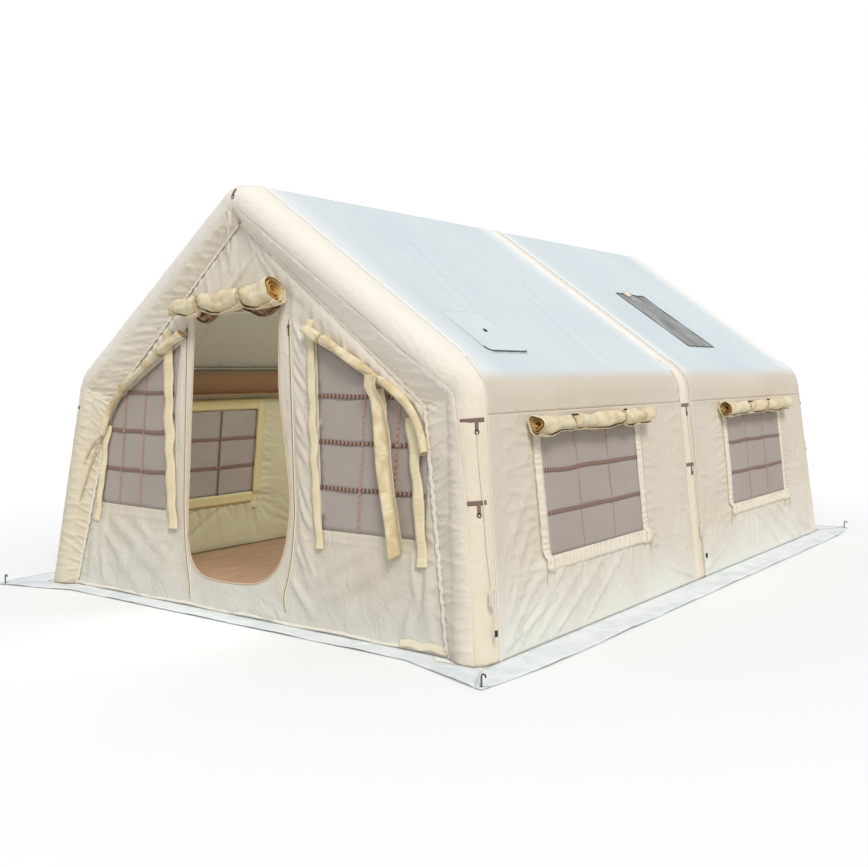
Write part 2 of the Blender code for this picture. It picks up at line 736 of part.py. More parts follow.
def side_roll(side_name, side, bay):
    """Window cover rolled up under the valance seam and held by two ties."""
    low, high = WINDOW_Y[bay]
    z, radius = 1.288, 0.056
    x = side * (shell_out(height_s(z), ARCH_REACH)[0].x + radius * 1.12 + 0.014)
    centres, radii = bulged(Vector((x, low - 0.15, z)), Vector((x, high + 0.16, z + 0.008)), radius,
                            (0.3, 0.72), 0.014, 8)
    tube(f"{side_name}_window_roll_{bay}", centres, radii, Vector((0, 0, 1)), material("roll cloth"))


def gable_front(x, z, proud):
    """Point in front of the door gable's outer face."""
    return Vector((x, -(gable_y(x, z) + CLOTH + proud), z))


def gable_rolls():
    """Cover rolls along the sloping tops of the gable windows, and the rolled door above its opening."""
    for side_name, side in (("right", 1), ("left", -1)):
        route = ((0.57, 1.865), (0.80, 1.755), (1.05, 1.61), (1.28, 1.475), (1.42, 1.33), (1.50, 1.13))
        centres = [gable_front(side * x, z, 0.055) for x, z in route]
        radii = [0.040, 0.036, 0.030, 0.037, 0.031, 0.036]
        tube(f"{side_name}_gable_roll", centres, radii, Vector((0, 1, 0)), material("roll cloth"))
    centres, radii = bulged(gable_front(-0.62, 2.04, 0.095), gable_front(0.37, 2.12, 0.095), 0.072,
                            (0.22, 0.64), 0.025)
    tube("door_roll", centres, radii, Vector((0, 0, 1)), material("roll cloth"), sides=12)
    centres, radii = bulged(gable_front(-0.46, 1.93, 0.045), gable_front(0.32, 1.965, 0.045), 0.032,
                            (0.3, 0.75), 0.01, 8)
    tube("door_net_roll", centres, radii, Vector((0, 0, 1)), material("inner net"))


def loose_flap():
    """Edge of the right gable window's cover, hanging from its roll in long folds."""
    width, low, high, count = 0.26, 0.50, 1.50, 12

    def surface(u, v, depth):
        share = (high - v) / (high - low)
        x = 1.03 + u * (0.30 + 0.30 * share) + 0.27 * share
        fold = 0.018 * math.sin(math.tau * 2.5 * u / width) * (0.3 + 0.7 * share)
        return gable_front(x, v, 0.050 + fold - depth)
    outline = [(0, low + 0.05), (0.1, low), (width, low + 0.02), (width, high), (0, high)]
    creases = [[(width * i / count, low + 0.06), (width * i / count, high)] for i in range(1, count)]
    cloth("gable_loose_flap", outline, surface, material("roll cloth"), creases=creases, step=0.22)


# Door zips


ZIPS = {
    "left": ((-0.452, 0.055), (-0.43, 0.30), (-0.50, 0.50), (-0.548, 0.72), (-0.575, 1.93)),
    "right": ((0.462, 0.085), (0.415, 0.19), (0.47, 0.33), (0.495, 0.50), (0.505, 0.72),
              (0.395, 1.93)),
}
ZIP_HALF, ZIP_RISE = 0.007, 0.0035
ZIP_TRAVEL = 1.10


def zip_track(name, line):
    """Closed zip's raised teeth along one side of the door."""
    outer = [Vector(p) for p in line]
    shape, rings = bmesh.new(), []
    for i, point in enumerate(outer):
        ways = [(b - a).normalized() for a, b in zip(outer[max(0, i - 1):], outer[max(0, i - 1) + 1:i + 2])]
        way = sum(ways, Vector((0, 0))).normalized()
        side = Vector((-way.y, way.x)) * ZIP_HALF
        rings.append([shape.verts.new(gable_front(*(point + side * e), rise))
                      for e, rise in ((-1, GAP), (1, GAP), (1, 0.0022), (0.45, ZIP_RISE),
                                      (-0.45, ZIP_RISE), (-1, 0.0022))])
    for near, far in zip(rings, rings[1:]):
        for i in range(6):
            j = (i + 1) % 6
            shape.faces.new((near[i], near[j], far[j], far[i]))
    shape.faces.new(rings[0])
    shape.faces.new(rings[-1])
    finish(name, shape, material("zip", 0.6))


def zip_slider(name, line):
    """Zip slider with its pull tab, near the top of the straight part of its zip."""
    top, low = Vector(line[-1]), Vector(line[-2])
    way = (low - top).normalized()
    centre = top + way * 0.045
    place = gable_front(*centre, ZIP_RISE + 0.0008)
    down = (gable_front(*low, 0) - gable_front(*top, 0)).normalized()
    out = Vector((0, -1, DOOR_LEAN)).normalized()
    across = down.cross(out).normalized()
    turn = Matrix((across, down, out)).transposed().to_4x4()
    shape = bmesh.new()
    outline = [(-0.008, -0.012), (0.008, -0.012), (0.0095, 0.0), (0.006, 0.014), (0.0035, 0.016),
               (0.0045, 0.058), (-0.0045, 0.058), (-0.0035, 0.016), (-0.006, 0.014), (-0.0095, 0.0)]
    loops = [[shape.verts.new((x, y, z)) for x, y in outline] for z in (0.0, 0.004)]
    for i in range(len(outline)):
        j = (i + 1) % len(outline)
        shape.faces.new((loops[0][i], loops[0][j], loops[1][j], loops[1][i]))
    shape.faces.new(loops[0])
    shape.faces.new(loops[1])
    slider = finish(name, shape, material("slider", 0.35, 0.9))
    slider.matrix_world = Matrix.Translation(place) @ turn
    print(name, "slides along", [round(v, 5) for v in down], "from", [round(v, 4) for v in place])


# Skylight and stove panel


def roof_fittings():
    """Skylight film, the heat-proof stove panel with its pipe hole, and the panel's cover."""
    s_ends = [slope_s(x) for x in SKYLIGHT_X]
    cloth("skylight_film", rectangle(s_ends, SKYLIGHT_Y, GAP),
          lambda s, y, depth: roof_surface(s, y, depth + 0.001), material("film", 0.3), thick=0.001)
    s_ends = [slope_s(x) for x in STOVE_X]
    middle = (sum(s_ends) / 2, sum(STOVE_Y) / 2)
    pipe = [(middle[0] + x * 1.2, middle[1] + y) for x, y in circle(PIPE_RADIUS, 24)]
    cloth("stove_panel", rectangle(s_ends, STOVE_Y, GAP), roof_surface, material("stove panel"),
          holes=[pipe], step=0.3)
    stove_cover(s_ends)


def stove_frame():
    """Upper edge of the stove panel, and the directions down the slope and out of it."""
    top, low = (roof_surface(slope_s(x), STOVE_Y[0] / 2 + STOVE_Y[1] / 2, 0) for x in STOVE_X)
    down = (low - top).normalized()
    return top, down, down.cross(Vector((0, 1, 0))).normalized()


def stove_cover(s_ends):
    """Cover over the pipe hole, hung by its upper edge, with a round snap in its middle."""
    top, down, out = stove_frame()
    length, half = s_ends[1] - s_ends[0] - 0.01, (STOVE_Y[1] - STOVE_Y[0]) / 2 - 0.004
    shape = bmesh.new()
    outline = [(0.0, -half), (length - 0.05, -half), (length, -half + 0.05), (length, half - 0.01),
               (0.0, half)]
    loops = [[shape.verts.new((x, y, z)) for x, y in outline] for z in (0.0, CLOTH)]
    for i in range(len(outline)):
        j = (i + 1) % len(outline)
        shape.faces.new((loops[0][i], loops[0][j], loops[1][j], loops[1][i]))
    shape.faces.new(loops[0])
    shape.faces.new(loops[1])
    cover = finish("stove_cover", shape, material("roof cloth"))
    cover.matrix_world = Matrix.Translation(top + out * 0.0075) @ Matrix(
        (down, Vector((0, 1, 0)), out)).transposed().to_4x4()
    snap = bmesh.new()
    bmesh.ops.create_cone(snap, cap_ends=True, segments=16, radius1=0.02, radius2=0.012, depth=0.01,
                          matrix=Matrix.Translation((length / 2, 0, 0.007)))
    tool = finish("snap tool", snap, material("black plastic"))
    tool.matrix_world = cover.matrix_world.copy()
    combine(cover, tool, "UNION")
    print("stove_cover turns at", [round(v, 4) for v in cover.matrix_world.translation])


# Ground


def groundsheet():
    """Floor sheet between the walls, with notches round the arches' legs."""
    x, y = BASE_WIDTH / 2 - 0.006, end_y(0) + SEAM_DEPTH - 0.006
    leg_x, leg_y, band = AXIS[FOOT].x - 0.14, end_y(0) - 0.122, BAND_HALF + 0.02
    side = [(leg_x, -y), (leg_x, -leg_y), (x, -leg_y), (x, -band), (leg_x + 0.018, -band),
            (leg_x + 0.018, band), (x, band), (x, leg_y), (leg_x, leg_y), (leg_x, y)]
    outline = side + [(-x, -y) for x, y in side]
    cloth("groundsheet", outline, lambda u, v, depth: Vector((u, v, FLOOR - depth)),
          material("groundsheet"), thick=FLOOR, step=9)


def skirt_surface(u, v, depth):
    """Ground flap, level at the wall and lifted in low waves towards its outer edge."""
    away = max(abs(u) - BASE_WIDTH / 2, abs(v) - end_y(0) - SEAM_DEPTH, 0) / SKIRT_WIDTH
    wave = 0.5 + 0.5 * math.sin(u * 9.0 + v * 7.0)
    return Vector((u, v, CLOTH - depth + 0.012 * wave * min(1, away)))


def skirts():
    """Ground flap in four lengths that meet on the corners' pointed tips, each with a peg hole."""
    wall_x, wall_y = BASE_WIDTH / 2 + 0.0015, end_y(0) + SEAM_DEPTH + CLOTH + 0.0015
    arch_y = end_y(0) + ARCH_REACH + 0.0015
    peg = [(TIP[0] - 0.03 + x, TIP[1] - 0.05 + y) for x, y in circle(0.008, 8)]
    for name, side in (("right", 1), ("left", -1)):
        half = [(wall_x, arch_y), (wall_x + 0.002, arch_y + 0.001), (TIP[0] - 0.045, TIP[1] - 0.01), TIP,
                (wall_x + SKIRT_WIDTH, 2.75)]
        outline = [(side * x, y) for x, y in half]
        outline += [(side * x, -y) for x, y in reversed(half)]
        outline = [*outline[1:-1]]
        outline.insert(0, (side * wall_x, arch_y))
        outline.append((side * wall_x, -arch_y))
        holes = [[(side * x, y) for x, y in peg], [(side * x, -y) for x, y in peg]]
        cloth(f"{name}_skirt", outline, skirt_surface, material("skirt"), holes=holes, step=0.42)
    for name, arch in (("front", -1), ("rear", 1)):
        half = [(1.62, wall_y), (1.70, arch_y + 0.004), (wall_x - 0.004, arch_y + 0.004),
                (TIP[0] - 0.052, TIP[1] - 0.012), (1.55, wall_y + 0.17)]
        outline = [(x, arch * y) for x, y in half] + [(-x, arch * y) for x, y in reversed(half)]
        cloth(f"{name}_skirt", outline, skirt_surface, material("skirt"), step=0.42)


def peg(name, x, y):
    """Steel peg in a corner of the skirt, with its hooked head."""
    line = [Vector((x, y, 0.0005)), Vector((x, y, 0.055)), Vector((x + 0.004, y, 0.066)),
            Vector((x + 0.014, y, 0.071)), Vector((x + 0.024, y, 0.066)), Vector((x + 0.027, y, 0.054))]
    tube(name, line, [0.005] * len(line), Vector((0, 1, 0)), material("peg steel", 0.4, 0.9),
         sides=8, dish=False)


def pegs():
    for name, sx, sy in (("front_right_peg", 1, -1), ("rear_right_peg", 1, 1), ("front_left_peg", -1, -1)):
        peg(name, sx * (TIP[0] - 0.03), sy * (TIP[1] - 0.05))


# Valve


VALVE_Z = 0.45


def valve_frame():
    """Place on the inner side of the rear left leg's air beam, and the way out of it."""
    k = len(AXIS) - 1
    share = (VALVE_Z - AXIS[k].y) / (AXIS[k - 1].y - AXIS[k].y)
    turn = math.radians(180 - 11.25)
    apothem = ARCH_RADIUS * math.cos(math.radians(11.25))
    spots = [on_arch(1, n, apothem * math.cos(turn), -apothem * math.sin(turn)) for n in (k, k - 1)]
    centres = [on_arch(1, n, 0, 0) for n in (k, k - 1)]
    leg = (centres[1] - centres[0]).normalized()
    place = spots[0].lerp(spots[1], share)
    out = place - centres[0].lerp(centres[1], share)
    out = (out - leg * out.dot(leg)).normalized()
    return place, out, leg


def valve():
    """Inflation valve in a hole of the sleeve, and its quarter-turn cap."""
    place, out, leg = valve_frame()
    turn = Matrix((leg, out.cross(leg), out)).transposed().to_4x4()

    def disc(name, steps, finish_of, start):
        shape, rings = bmesh.new(), []
        for radius, height in steps:
            rings.append([shape.verts.new((x, y, height)) for x, y in circle(radius, 16)])
        for near, far in zip(rings, rings[1:]):
            for i in range(16):
                j = (i + 1) % 16
                shape.faces.new((near[i], near[j], far[j], far[i]))
        shape.faces.new(rings[0])
        shape.faces.new(rings[-1])
        made = finish(name, shape, finish_of)
        made.matrix_world = Matrix.Translation(place + out * start) @ turn
        return made
    cutter = disc("valve hole", ((0.0205, 0), (0.0205, 0.03)), material("bladder"), -0.002)
    combine(bpy.data.objects["rear_arch_sleeve"], cutter, "DIFFERENCE")
    disc("inflation_valve", ((0.0195, 0.0), (0.0195, 0.004), (0.014, 0.006), (0.014, 0.012)),
         material("black plastic", 0.5), 0.0006)
    cap = disc("valve_cap", ((0.0175, 0.0), (0.018, 0.008), (0.016, 0.011)),
               material("black plastic", 0.5), 0.0132)
    tab = bmesh.new()
    bmesh.ops.create_cube(tab, size=1, matrix=Matrix.LocRotScale(
        Vector((0, 0, 0.0125)), None, Vector((0.026, 0.006, 0.011))))
    grip = finish("cap grip", tab, material("black plastic"))
    grip.matrix_world = cap.matrix_world.copy()
    combine(cap, grip, "UNION")
    print("valve_cap at", [round(v, 4) for v in cap.matrix_world.translation], "axis",
          [round(v, 5) for v in out])


# Guy ropes


def smooth(points, count):
    """Points at even steps on a smooth curve through the given points."""
    ends = [points[0] * 2 - points[1], *points, points[-1] * 2 - points[-2]]
    fine = []
    for a, b, c, d in zip(ends, ends[1:], ends[2:], ends[3:]):
        for i in range(24):
            t = i / 24
            fine.append(0.5 * (2 * b + (c - a) * t + (2 * a - 5 * b + 4 * c - d) * t * t
                               + (3 * b - a - 3 * c + d) * t ** 3))
    fine.append(points[-1])
    return evenly(fine, count)


def evenly(fine, count):
    lengths = [0.0]
    for a, b in zip(fine, fine[1:]):
        lengths.append(lengths[-1] + (b - a).length)
    spots, i = [], 0
    for n in range(count):
        goal = lengths[-1] * n / (count - 1)
        while i < len(fine) - 2 and lengths[i + 1] < goal:
            i += 1
        share = (goal - lengths[i]) / (lengths[i + 1] - lengths[i])
        spots.append(fine[i].lerp(fine[i + 1], share))
    return spots


def rope(name, points, resolution):
    """Round rope along the points, with flat ends."""
    curve = bpy.data.curves.new(name, "CURVE")
    curve.dimensions = "3D"
    curve.bevel_depth = ROPE / 2
    curve.bevel_resolution = resolution
    curve.use_fill_caps = True
    line = curve.splines.new("POLY")
    line.points.add(len(points) - 1)
    for spot, point in zip(line.points, points):
        spot.co = (*point, 1)
    curve.materials.append(material("rope"))
    made = bpy.data.objects.new(name, curve)
    bpy.context.collection.objects.link(made)
    length = sum((b - a).length for a, b in zip(points, points[1:]))
    print(name, "is", round(length, 3), "m long, and its ends are", [round(v, 4) for v in points[0]],
          [round(v, 4) for v in points[-1]])


def least_gap(points):
    """Least gap between a tube's surfaces, of points more than two diameters apart along it."""
    best = math.inf
    fine = evenly(points, len(points) * 3)
    step = (fine[1] - fine[0]).length
    skip = math.ceil(math.pi * 1.2 * ROPE / step)
    for i, a in enumerate(fine):
        for b in fine[i + skip:]:
            best = min(best, (a - b).length)
    return best - ROPE


def hank_points(loops, half, length, pitch, tail):
    """Hank's tube about its middle: down one run, round and up the other, a layer out each turn.

    The rope comes in from above, the loops are drawn in at the waist, and a straight tail leaves
    below.
    """
    points = []
    for n in range(loops * 24 + 1):
        turn = math.tau * n / 24
        x, z = half * math.cos(turn), -math.sin(turn)
        x *= 1 - 0.28 * (1 - z * z) ** 3
        points.append(Vector((x, pitch * turn / math.tau, z * length / 2)))
    first, last = points[0], points[-1]
    top = length / 2 + 0.02
    lead = [first + Vector((0, 0, d)) for d in (top, length / 2 + 0.006, 0.03)]
    trail = [last - Vector((0, 0, d)) for d in (0.03, length / 2 + 0.006, top, top + tail / 2,
                                               top + tail)]
    return lead + points + trail


def guy_rope(name, route, up, out, points):
    """Guy rope along its route from a tee's ring down to a hank, and the hank with its tail.

    The hank hangs against up, and its layers go out.
    """
    across = up.cross(out).normalized()
    shape = hank_points(3, 0.018, 0.10, 0.0082, 0.15)
    hank = [route[-1] + across * (p.x - shape[0].x) + out * p.y + up * (p.z - shape[0].z)
            for p in shape]
    way = (hank[0] - hank[1]).normalized()
    rope(f"{name}_guy_rope", smooth([*route[:-1], hank[0] + way * 0.03, hank[0] + way * GAP], points), 2)
    rope(f"{name}_guy_hank", hank, 1)
    print(f"{name} hank's least gap to itself is", round(least_gap(hank) * 1000, 2), "mm")
    return hank


def column_point(arch, z, turn, proud, along=0.0):
    """Point outside a right-hand column, some degrees round its beam from straight out, and along."""
    k, share = shell_spot(height_s(z))
    reach, turn = ARCH_REACH + proud, math.radians(turn)
    a, c = reach * math.cos(turn), reach * math.sin(turn) + along
    return on_arch(arch, k, a, c).lerp(on_arch(arch, k - 1, a, c), share)


def tensioner(name, hank, out):
    """Line adjuster on the hank's tail."""
    centre, way = hank[-1].lerp(hank[-2], 0.45), (hank[-1] - hank[-2]).normalized()
    out = (out - way * out.dot(way)).normalized()
    shape = bmesh.new()
    bmesh.ops.create_cube(shape, size=1, matrix=Matrix.LocRotScale(
        None, None, Vector((0.018, 0.012, 0.036))))
    bmesh.ops.bevel(shape, geom=shape.edges[:], offset=0.002, segments=1, affect="EDGES")
    body = finish(name, shape, material("black plastic", 0.5))
    body.matrix_world = Matrix.Translation(centre) @ Matrix(
        (out.cross(way), out, way)).transposed().to_4x4()
    hole = bmesh.new()
    bmesh.ops.create_cone(hole, cap_ends=True, segments=12, radius1=ROPE / 2 + 0.0007,
                          radius2=ROPE / 2 + 0.0007, depth=0.06)
    cutter = finish(f"{name} bore", hole, material("black plastic"))
    cutter.matrix_world = body.matrix_world.copy()
    combine(body, cutter, "DIFFERENCE")
    print(name, "slides along", [round(v, 5) for v in way], "from", [round(v, 4) for v in centre])


def guy_ropes():
    """Guy ropes hung up on the front right column, the middle right column and the front apex."""
    front = ((1.272, 33.75, 0.0), (1.263, 33.75, 0.009), (1.246, 33.75, 0.009), (1.2, 33, 0.006),
             (1.10, 31, 0.006), (0.95, 26, 0.008), (0.86, 23, 0.013), (0.78, 21, 0.013),
             (0.66, 17, 0.008), (0.55, 13, 0.010), (0.43, 9, 0.016))
    middle = ((1.272, 0, 0.006), (1.263, 0, 0.0175), (1.246, 0, 0.0165), (1.2, 0, 0.009),
              (1.10, 0, 0.007, 0.006), (0.95, 0, 0.009, 0.018), (0.86, 0, 0.013, 0.028),
              (0.78, 0, 0.013, 0.034), (0.66, 0, 0.009, 0.042), (0.55, 0, 0.010, 0.049),
              (0.43, 0, 0.014, 0.055))
    for name, arch, spots in (("front", -1, front), ("middle", 0, middle)):
        route = [column_point(arch, *spot) for spot in spots]
        up = (column_point(arch, 0.9, 0, 0) - column_point(arch, 0.3, 0, 0)).normalized()
        hank = guy_rope(name, route, up, Vector((1, 0, 0)), 48)
        tensioner(f"{name}_tensioner", hank, Vector((1, 0, 0)))
    ridge = end_y(AXIS[RIDGE].y)
    top, reach = AXIS[RIDGE].y, ARCH_REACH + 0.006
    route = [Vector((0.0, -(ridge + (reach + proud) * math.sin(t)), top + (reach + proud) * math.cos(t)))
             for t, proud in ((math.radians(76), -0.0045), (math.radians(79), 0.0065),
                              (math.radians(86), 0.005))]
    route.append(Vector((0.0, -(ridge + reach + 0.005), top - 0.04)))
    guy_rope("apex", route, Vector((0, 0, 1)), Vector((0, -1, 0)), 12)


def build():
    clear_scene()
    arch_frame()
    long_beams()
    for bay, arch in (("front", -1), ("rear", 1)):
        roof_bay(bay, arch)
        for side_name, side in (("right", 1), ("left", -1)):
            side_wall(side_name, side, bay, arch)
            side_net(side_name, side, bay)
            side_roll(side_name, side, bay)
    gable_walls()
    gable_net("right_gable_net", 1)
    gable_net("left_gable_net", -1)
    gable_rolls()
    loose_flap()
    for name, line in ZIPS.items():
        zip_track(f"door_zip_{name}", line)
        zip_slider(f"door_slider_{name}", line)
    roof_fittings()
    groundsheet()
    skirts()
    pegs()
    valve()
    guy_ropes()
    print(len([o for o in bpy.data.objects if not o.hide_render]), "objects")


build()
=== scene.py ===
import json
import math

import bpy
import numpy as np
from mathutils import Matrix, Vector
from mathutils.geometry import delaunay_2d_cdt

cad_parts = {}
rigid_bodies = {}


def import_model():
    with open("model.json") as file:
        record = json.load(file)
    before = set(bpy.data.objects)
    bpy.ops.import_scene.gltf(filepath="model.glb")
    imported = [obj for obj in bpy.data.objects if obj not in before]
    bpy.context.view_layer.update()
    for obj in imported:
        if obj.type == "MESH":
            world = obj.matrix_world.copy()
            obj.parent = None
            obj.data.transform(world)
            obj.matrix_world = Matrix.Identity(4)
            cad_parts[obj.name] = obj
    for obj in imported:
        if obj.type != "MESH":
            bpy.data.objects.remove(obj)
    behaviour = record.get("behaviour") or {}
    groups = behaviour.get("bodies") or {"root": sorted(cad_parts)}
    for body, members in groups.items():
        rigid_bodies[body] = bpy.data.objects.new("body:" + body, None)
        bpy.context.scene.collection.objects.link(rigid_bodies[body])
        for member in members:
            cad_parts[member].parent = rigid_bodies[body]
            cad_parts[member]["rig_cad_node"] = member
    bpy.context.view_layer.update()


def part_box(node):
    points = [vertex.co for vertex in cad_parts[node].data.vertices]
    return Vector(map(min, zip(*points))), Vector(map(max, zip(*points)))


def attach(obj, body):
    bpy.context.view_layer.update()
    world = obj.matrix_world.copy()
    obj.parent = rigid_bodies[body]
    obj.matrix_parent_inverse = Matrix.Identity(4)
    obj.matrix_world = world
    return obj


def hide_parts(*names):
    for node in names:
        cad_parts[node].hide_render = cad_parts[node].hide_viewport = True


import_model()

# Camera: the photographer's place off the tent's front right corner, at standing height, solved from
# the tent's square corners, ridge and eaves.
camera = bpy.data.cameras.new("photo_camera")
camera.sensor_width = 36
camera.lens = 1044 / 868 * 36
camera.clip_end = 200
camera_object = bpy.data.objects.new("photo_camera", camera)
bpy.context.collection.objects.link(camera_object)
yaw, pitch, roll = math.radians(36.64), math.radians(-3.59), math.radians(-0.10)
forward = Vector((-math.sin(yaw) * math.cos(pitch), math.cos(yaw) * math.cos(pitch), math.sin(pitch)))
turn = forward.to_track_quat("-Z", "Y").to_matrix().to_4x4() @ Matrix.Rotation(roll, 4, "Z")
camera_object.matrix_world = Matrix.Translation((5.094, -7.602, 1.622)) @ turn
bpy.context.scene.camera = camera_object

# Guy ropes: three braided polyester ropes of 6 mm, each knotted to the ring of a webbing tee and hung
# up in a hank of three loops with a plastic adjuster on its tail.


def linear(hexa):
    """An sRGB hex colour as linear red, green, blue and 1: the sRGB curve undone channel by channel."""
    channels = np.array([int(hexa[i:i + 2], 16) / 255 for i in (0, 2, 4)])
    lifted = np.where(channels <= 0.04045, channels / 12.92, ((channels + 0.055) / 1.055) ** 2.4)
    return (*lifted, 1.0)


def add(tree, kind, inputs=None, **settings):
    """Adds a node of a kind: settings are its own, inputs are values or other nodes' sockets."""
    made = tree.nodes.new("ShaderNode" + kind)
    for name, value in settings.items():
        setattr(made, name, value)
    for key, value in (inputs or {}).items():
        if isinstance(value, bpy.types.NodeSocket):
            tree.links.new(value, made.inputs[key])
        else:
            made.inputs[key].default_value = value
    return made


def unit(vectors):
    """Vectors scaled to a length of 1."""
    vectors = np.asarray(vectors, float)
    return vectors / np.linalg.norm(vectors, axis=-1, keepdims=True)


def run_of(line):
    """Length along a line from its first point to each point."""
    return np.concatenate([[0], np.cumsum(np.linalg.norm(np.diff(line, axis=0), axis=1))])


def blank(name):
    """New material with an empty Principled shader, its tree and the shader."""
    made = bpy.data.materials.new(name)
    made.use_nodes = True
    return made, made.node_tree, made.node_tree.nodes["Principled BSDF"]


def mixed(tree, factor, first, second):
    """Colour socket that goes from the first colour to the second as the factor goes from 0 to 1."""
    return add(tree, "Mix", {0: factor, 6: first, 7: second}, data_type="RGBA").outputs[2]


def scaled(tree, value, low, high, to_low=0.0, to_high=1.0):
    """Value taken from low..high to to_low..to_high, held at both ends."""
    return add(tree, "MapRange", {0: value, 1: low, 2: high, 3: to_low, 4: to_high}).outputs[0]


def waves(tree, value, period):
    """Sine of a coordinate in metres, one wave in each period."""
    turned = add(tree, "Math", {0: value, 1: math.tau / period}, operation="MULTIPLY").outputs[0]
    return add(tree, "Math", {0: turned}, operation="SINE").outputs[0]


def own_uv(tree, axis="X"):
    """One coordinate of a piece's own UV, in metres along or across it."""
    return add(tree, "SeparateXYZ", {0: add(tree, "TexCoord").outputs["UV"]}).outputs[axis]


def noise(tree, scale, detail=2.0, distortion=0.0, source="Object", stretch=(1.0, 1.0, 1.0)):
    """Noise over the object's coordinates or its UV, with the scales of its three directions."""
    place = add(tree, "TexCoord").outputs[source]
    if stretch != (1.0, 1.0, 1.0):
        place = add(tree, "Mapping", {0: place, 3: stretch}).outputs[0]
    return add(tree, "TexNoise", {"Vector": place, "Scale": scale, "Detail": detail,
                                  "Distortion": distortion}).outputs[0]


def finish(name, pattern, first, second, roughness, span=(0.0, 1.0), bump=0.0, strength=0.7, metal=0.0):
    """Material of two hex colours: it goes from the first to the second as the pattern's value goes over
    the span, and the pattern raises its surface by the bump in metres. pattern(tree) gives a socket."""
    made, tree, shader = blank(name)
    value = pattern(tree)
    tint = mixed(tree, scaled(tree, value, *span), linear(first), linear(second))
    tree.links.new(tint, shader.inputs["Base Color"])
    if bump:
        raised = add(tree, "Bump", {"Height": value, "Distance": bump, "Strength": strength})
        tree.links.new(raised.outputs[0], shader.inputs["Normal"])
    shader.inputs["Roughness"].default_value = roughness
    shader.inputs["Metallic"].default_value = metal
    return made


def build(name, points, faces, uvs=None, inside=None, thick=0.0, smooth=True, lined=False):
    """Mesh object of points and faces, turned to point away from an inner point, or by its volume.
    The inner side of lined cloth takes the next material.

    The signed volume of a closed mesh is a sixth of the sum of each triangle's triple product.
    """
    points = np.asarray(points, float)
    mesh = bpy.data.meshes.new(name)
    mesh.from_pydata(points.tolist(), [], [list(map(int, f)) for f in faces])
    corners = np.empty(len(mesh.loops), int)
    mesh.loops.foreach_get("vertex_index", corners)
    mesh.calc_loop_triangles()
    triangles = np.empty(len(mesh.loop_triangles) * 3, int)
    mesh.loop_triangles.foreach_get("vertices", triangles)
    a, b, c = (points[triangles.reshape(-1, 3)[:, i]] for i in range(3))
    if inside is None:
        side = np.einsum("ij,ij->i", a - points.mean(0),
                         np.cross(b - points.mean(0), c - points.mean(0))).sum()
    else:
        side = np.einsum("ij,ij->i", np.cross(b - a, c - a), (a + b + c) / 3 - np.array(inside)).sum()
    if side < 0:
        mesh.flip_normals()
        mesh.loops.foreach_get("vertex_index", corners)
    if uvs is not None:
        layer = mesh.uv_layers.new(name="UVMap")
        layer.data.foreach_set("uv", np.asarray(uvs, float)[corners].ravel())
    if smooth:
        mesh.shade_smooth()
    made = bpy.data.objects.new(name, mesh)
    bpy.context.collection.objects.link(made)
    if thick:
        shell = made.modifiers.new("cloth thickness", "SOLIDIFY")
        shell.thickness = thick
        shell.offset = -1
        shell.material_offset = int(lined)
    return made


def quads(rows, columns, around=False, keep=None):
    """Faces of a grid of points that is numbered row by row, closed across the columns or not."""
    index = np.arange(rows * columns).reshape(rows, columns)
    if around:
        index = np.hstack([index, index[:, :1]])
    found = np.stack([index[:-1, :-1], index[:-1, 1:], index[1:, 1:], index[1:, :-1]], -1)
    return found[keep] if keep is not None else found.reshape(-1, 4)


def tube(name, path, radius, sides=12, hint=(1, 0, 0), lump=None):
    """Round tube along a path: each ring is the path's point plus the radius times a turned unit
    vector, square to the path's way there. The hint is a direction that the path never runs in.
    UVs are metres along and share around. lump(along, turn) is added to the radius."""
    path, radius = np.asarray(path, float), np.asarray(radius, float) * np.ones(len(path))
    way = unit(np.gradient(path, axis=0))
    first = unit(np.cross(way, np.asarray(hint, float)))
    second = np.cross(way, first)
    along = run_of(path)
    turns = np.arange(sides + 1) / sides * math.tau
    out = (first[:, None] * np.cos(turns)[None, :, None] + second[:, None] * np.sin(turns)[None, :, None])
    size = radius[:, None] + (lump(along[:, None], turns[None, :]) if lump else 0)
    rings = path[:, None] + out * size[:, :, None]
    count, columns = len(path), sides + 1
    points = np.vstack([rings.reshape(-1, 3), path[0], path[-1]])
    uvs = np.stack(np.broadcast_arrays(along[:, None], turns[None, :] / math.tau), -1).reshape(-1, 2)
    uvs = np.vstack([uvs, [0, 0.5], [along[-1], 0.5]])
    ends = np.arange(sides)
    faces = quads(count, columns).tolist()
    faces += np.stack([np.full(sides, count * columns), ends, ends + 1], -1).tolist()
    last = (count - 1) * columns + ends
    faces += np.stack([np.full(sides, count * columns + 1), last + 1, last], -1).tolist()
    made = build(name, points, faces, uvs)
    return joined(made)


def joined(made):
    """Merges a mesh's doubled points, as along the line where a tube closes; the UVs stay."""
    merge = made.modifiers.new("closed seam", "WELD")
    merge.merge_threshold = 0.00002
    if made.modifiers[0] != merge:
        made.modifiers.move(len(made.modifiers) - 1, 0)
    return made


def through(points, count):
    """Even steps on a smooth curve through the points, whose slope at each is half the way between
    that point's neighbours."""
    p = np.asarray(points, float)
    p = np.vstack([2 * p[0] - p[1], p, 2 * p[-1] - p[-2]])
    a, b, c, d = p[:-3, None], p[1:-2, None], p[2:-1, None], p[3:, None]
    t = (np.arange(24) / 24)[None, :, None]
    fine = 0.5 * (2 * b + (c - a) * t + (2 * a - 5 * b + 4 * c - d) * t ** 2
                  + (3 * b - a - 3 * c + d) * t ** 3)
    return evenly(np.vstack([fine.reshape(-1, p.shape[1]), p[-2]]), count)


